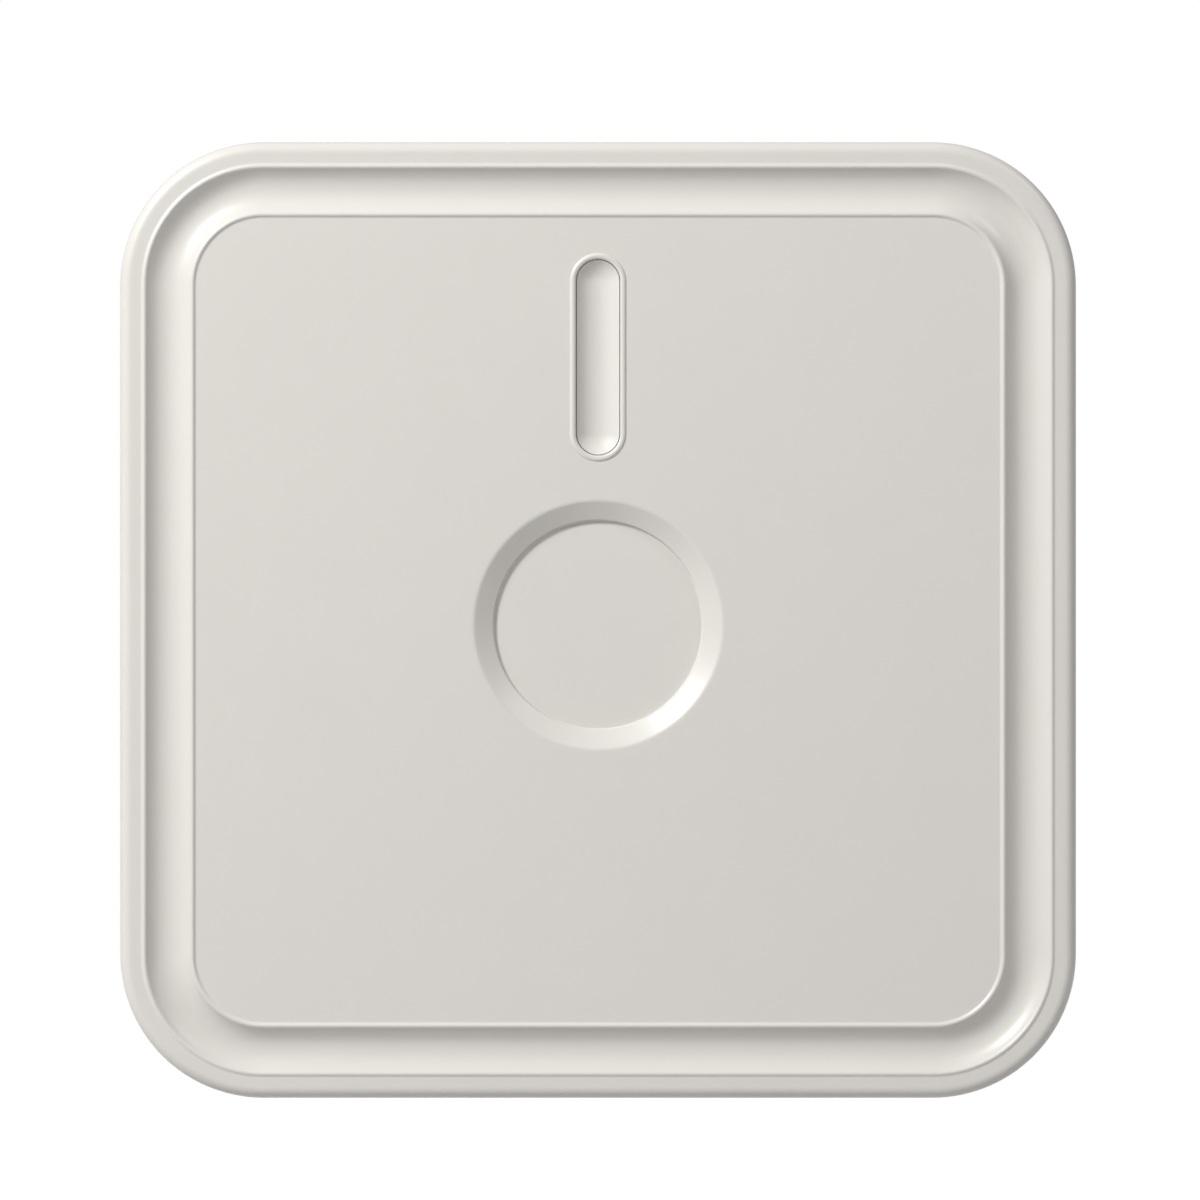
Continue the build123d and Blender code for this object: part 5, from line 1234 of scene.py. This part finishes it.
# Battery. Three nickel-plated cells in a row, with fibre discs over their ends, in a dark blue shrink
# film that is drawn into fine wrinkles, under a moulded strap.
def shrink_film(name, colour):
    """Glossy film over round cells, in fine folds along them."""
    material, shader, place = new_material(name)
    folds = mottled(stretched(place, (1, 1, 0.25)), 320, 5.0, 0.6)
    low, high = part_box("battery_cells")
    cells = ripple(place, "X", (high.x - low.x) / 3, (low.x + high.x) / 2)
    swell = added(added(folds, mottled(place, 60, 2.0), 2.0), cells, 3.0)
    tone, gloss = shaded(folds, colour, 0.25), between(folds, 0.14, 0.3)
    painted(shader, tone, gloss, swell, 0.5, 0.16 * mm)
    return material


dress(plated_metal("cell_nickel", (0.60, 0.60, 0.58), 0.22, (1, 1, 0.1), 900, 0.05), "battery_cells")
dress(moulded_plastic("fibre_board", (0.46, 0.40, 0.26), 0.75, 0.6 * mm, 0.4, 0.12), "battery_end_caps")
dress(shrink_film("shrink_film", (0.008, 0.02, 0.085)), "battery_wrap")
dress(moulded_plastic("strap_plastic", housing_colour, 0.5, 0.4 * mm, 0.2, 0.02), "battery_strap")


# Leads. Each a black wire and a red one side by side, from the battery and from the power unit up to
# a white nylon plug on the main board, with tinned contacts showing in the plug's windows.
plug_x = 14  # in millimetres to either side, like the runs below
wire_y = -14 * mm
wire_radius = 0.44 * mm
wire_offset = 0.45 * mm
plug_nylon = moulded_plastic("plug_nylon", (0.62, 0.60, 0.54), 0.4, 0.25 * mm, 0.12, 0.03)
dress(plug_nylon, "battery_connector", "power_connector")
contact = made("contact", boxes, (-0.5, 0.5, 0.03, -1.6, 1.6, -0.02))
plug_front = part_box("battery_connector")[0].y
places = [((side * plug_x + x) * mm, plug_front, 3.0 * mm) for side in (-1, 1) for x in (-2, 0, 2)]
repeated("plug_contacts", contact, places, solder, "tin_plate")


def wire_drawer():
    """The node tree that gives a run of wire its round section."""
    tree, keys, given = node_group("round_wire", {"Radius": "Float"})
    inputs = {"Resolution": 16, "Radius": given["Radius"]}
    section = add_node(tree, "GeometryNodeCurvePrimitiveCircle", inputs)
    inputs = {"Curve": given["Geometry"], "Profile Curve": section, "Fill Caps": True}
    close_group(tree, add_node(tree, "GeometryNodeCurveToMesh", inputs), given["Finish"])
    return tree, keys


def wire(name, run, material, *nodes):
    """One insulated wire along a smooth run."""
    curve = bpy.data.curves.new(name, "CURVE")
    curve.dimensions = "3D"
    line = curve.splines.new("NURBS")
    line.points.add(len(run) - 1)
    for point, place in zip(line.points, run):
        point.co = (*place, 1)
    line.order_u = 3
    line.use_endpoint_u = True
    line.resolution_u = 16
    holder = bpy.data.objects.new(name, curve)
    bpy.context.scene.collection.objects.link(holder)
    values = {"Radius": wire_radius, "Finish": material}
    finished(shaped(holder, *wire_drawer(), values), material, "lead_black", *nodes)


black_wire = soft_rubber("black_wire", (0.02, 0.02, 0.022))
red_wire = soft_rubber("red_wire", (0.28, 0.02, 0.015))
for unit, side, turns in (
    ("battery", -1, ((24, -23.4), (24, -16.4), (plug_x, -6.4), (plug_x, 0.6))),
    ("power", 1, ((24, -30.0), (24, -23.0), (24, -16.4), (plug_x, -6.4), (plug_x, 0.6))),
):
    black_run = [(side * x - wire_offset, wire_y, z) for x, z in in_mm(turns)]
    red_run = [(side * x + wire_offset, wire_y, z) for x, z in in_mm(turns)]
    wire(unit + "_wire_black", black_run, black_wire, unit + "_lead")
    wire(unit + "_wire_red", red_run, red_wire)


# Power unit. A board with a taped transformer on a sintered core, the cans, a glass fuse in clips
# and three mains terminals. Its cover is a thick, dark, flame-proof moulding with a row of vents and
# a notch for the mains wires.
def wound_tape(name, colour):
    """Glossy tape wound in layers over the windings."""
    material, shader, place = new_material(name)
    layers = added(mottled(place, 240, 4.0), ripple(place, "Y", 1.6 * mm), 0.3)
    tone, gloss = shaded(layers, colour, 0.12), between(layers, 0.25, 0.4)
    painted(shader, tone, gloss, layers, 0.3, 0.06 * mm)
    return material


sintered = moulded_plastic("sintered_ferrite", (0.035, 0.035, 0.037), 0.62, 0.2 * mm, 0.5, 0.25)
dress(board_lacquer("tan_lacquer", (0.16, 0.10, 0.03), 0.42), "power_board")
dress(sintered, "transformer_core")
dress(wound_tape("wound_tape", (0.55, 0.36, 0.04)), "transformer_bobbin")
dress(nickel, "fuse")
dress(terminal_nylon, "mains_terminal")
dress(moulded_plastic("cover_dark", (0.045, 0.046, 0.05), 0.5, 0.4 * mm, 0.3, 0.12), "power_cover")


# Cable clamp. A black nylon bar screwed across two posts above the cable entry, that presses the
# incoming cables to the floor.
dress(black_nylon, "cable_clamp")


# Room. A pale floor well below the panel, a white surround with even light, one soft lamp at the
# upper left, a small one at the upper right for the streaks on the rim, and a weak one behind.
surround_light = 0.40
floor_z = -0.35


def seen_by(tree, *rays):
    """1 for either of those kinds of ray, and 0 for the rest."""
    flags = [add_node(tree, "ShaderNodeLightPath", output=f"Is {ray} Ray") for ray in rays]
    return calculated("MAXIMUM", *flags)


def pale_floor(bm):
    place = Matrix.Translation((0, 0, floor_z))
    bmesh.ops.create_circle(bm, cap_ends=True, segments=96, radius=4.0, matrix=place)


def floor_finish():
    """Pale matt paint that looks white from the camera and fades to grey near the panel."""
    material, shader, place = new_material("floor_white")
    away = add_node(place.id_data, "ShaderNodeVectorMath", {0: place}, "Value", operation="LENGTH")
    fade = between(away, 0.45, 0.80, 0.4, 1.3)
    glow = calculated("MULTIPLY", seen_by(place.id_data, "Camera", "Glossy"), fade)
    inputs = {"Base Color": (0.5, 0.5, 0.5, 1), "Roughness": 1.0, "Specular IOR Level": 0.0}
    feed(shader, {**inputs, "Emission Color": (1, 1, 1, 1), "Emission Strength": glow})
    return material


floor = made("floor", pale_floor)
floor.data.materials.append(floor_finish())
floor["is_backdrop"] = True
world = bpy.data.worlds.new("studio")
world.use_nodes = True
bpy.context.scene.world = world
tree = world.node_tree
seen = seen_by(tree, "Camera", "Transmission")
level = between(seen, surround_light, 1.0, 0.0, 1.0)
feed(tree.nodes["Background"], {"Color": (1, 1, 1, 1), "Strength": level})


def round_lamp(name, way, distance, size, power):
    """A soft round lamp that shines on the panel from that way."""
    lamp = bpy.data.lights.new(name, "AREA")
    lamp.shape = "DISK"
    lamp.size = size
    lamp.energy = power
    way = Vector(way).normalized()
    holder = bpy.data.objects.new(name, lamp)
    holder.location = way * distance
    holder.rotation_euler = (-way).to_track_quat("-Z", "Y").to_euler()
    bpy.context.scene.collection.objects.link(holder)


round_lamp("soft_box", (-0.59, -0.56, 0.58), distance=1.4, size=0.42, power=19.2)
round_lamp("catch_light", (0.62, -0.48, 0.62), distance=1.0, size=0.10, power=1.0)
round_lamp("back_fill", (0, 1, 0), distance=1.4, size=0.6, power=9.0)


# Camera. A long lens straight in front, a little above the middle, as in the photograph of the
# panel on its white ground.
view_distance = 1.2
view_width = 0.2506  # what the frame takes in at the panel's front
sensor = 36
camera = bpy.data.cameras.new("camera")
camera.sensor_width = sensor
camera.lens = sensor * view_distance / view_width
camera.clip_start = 0.01
eye = bpy.data.objects.new("camera", camera)
eye.location = (0.4 * mm, panel_front - view_distance, 4.2 * mm)
eye.rotation_euler = (math.radians(90), 0, 0)
bpy.context.scene.collection.objects.link(eye)
bpy.context.scene.camera = eye
bpy.context.scene.view_settings.view_transform = "Standard"

low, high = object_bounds()
{"cad": [list(cad_low), list(cad_high)], "visual": [list(low), list(high)]}
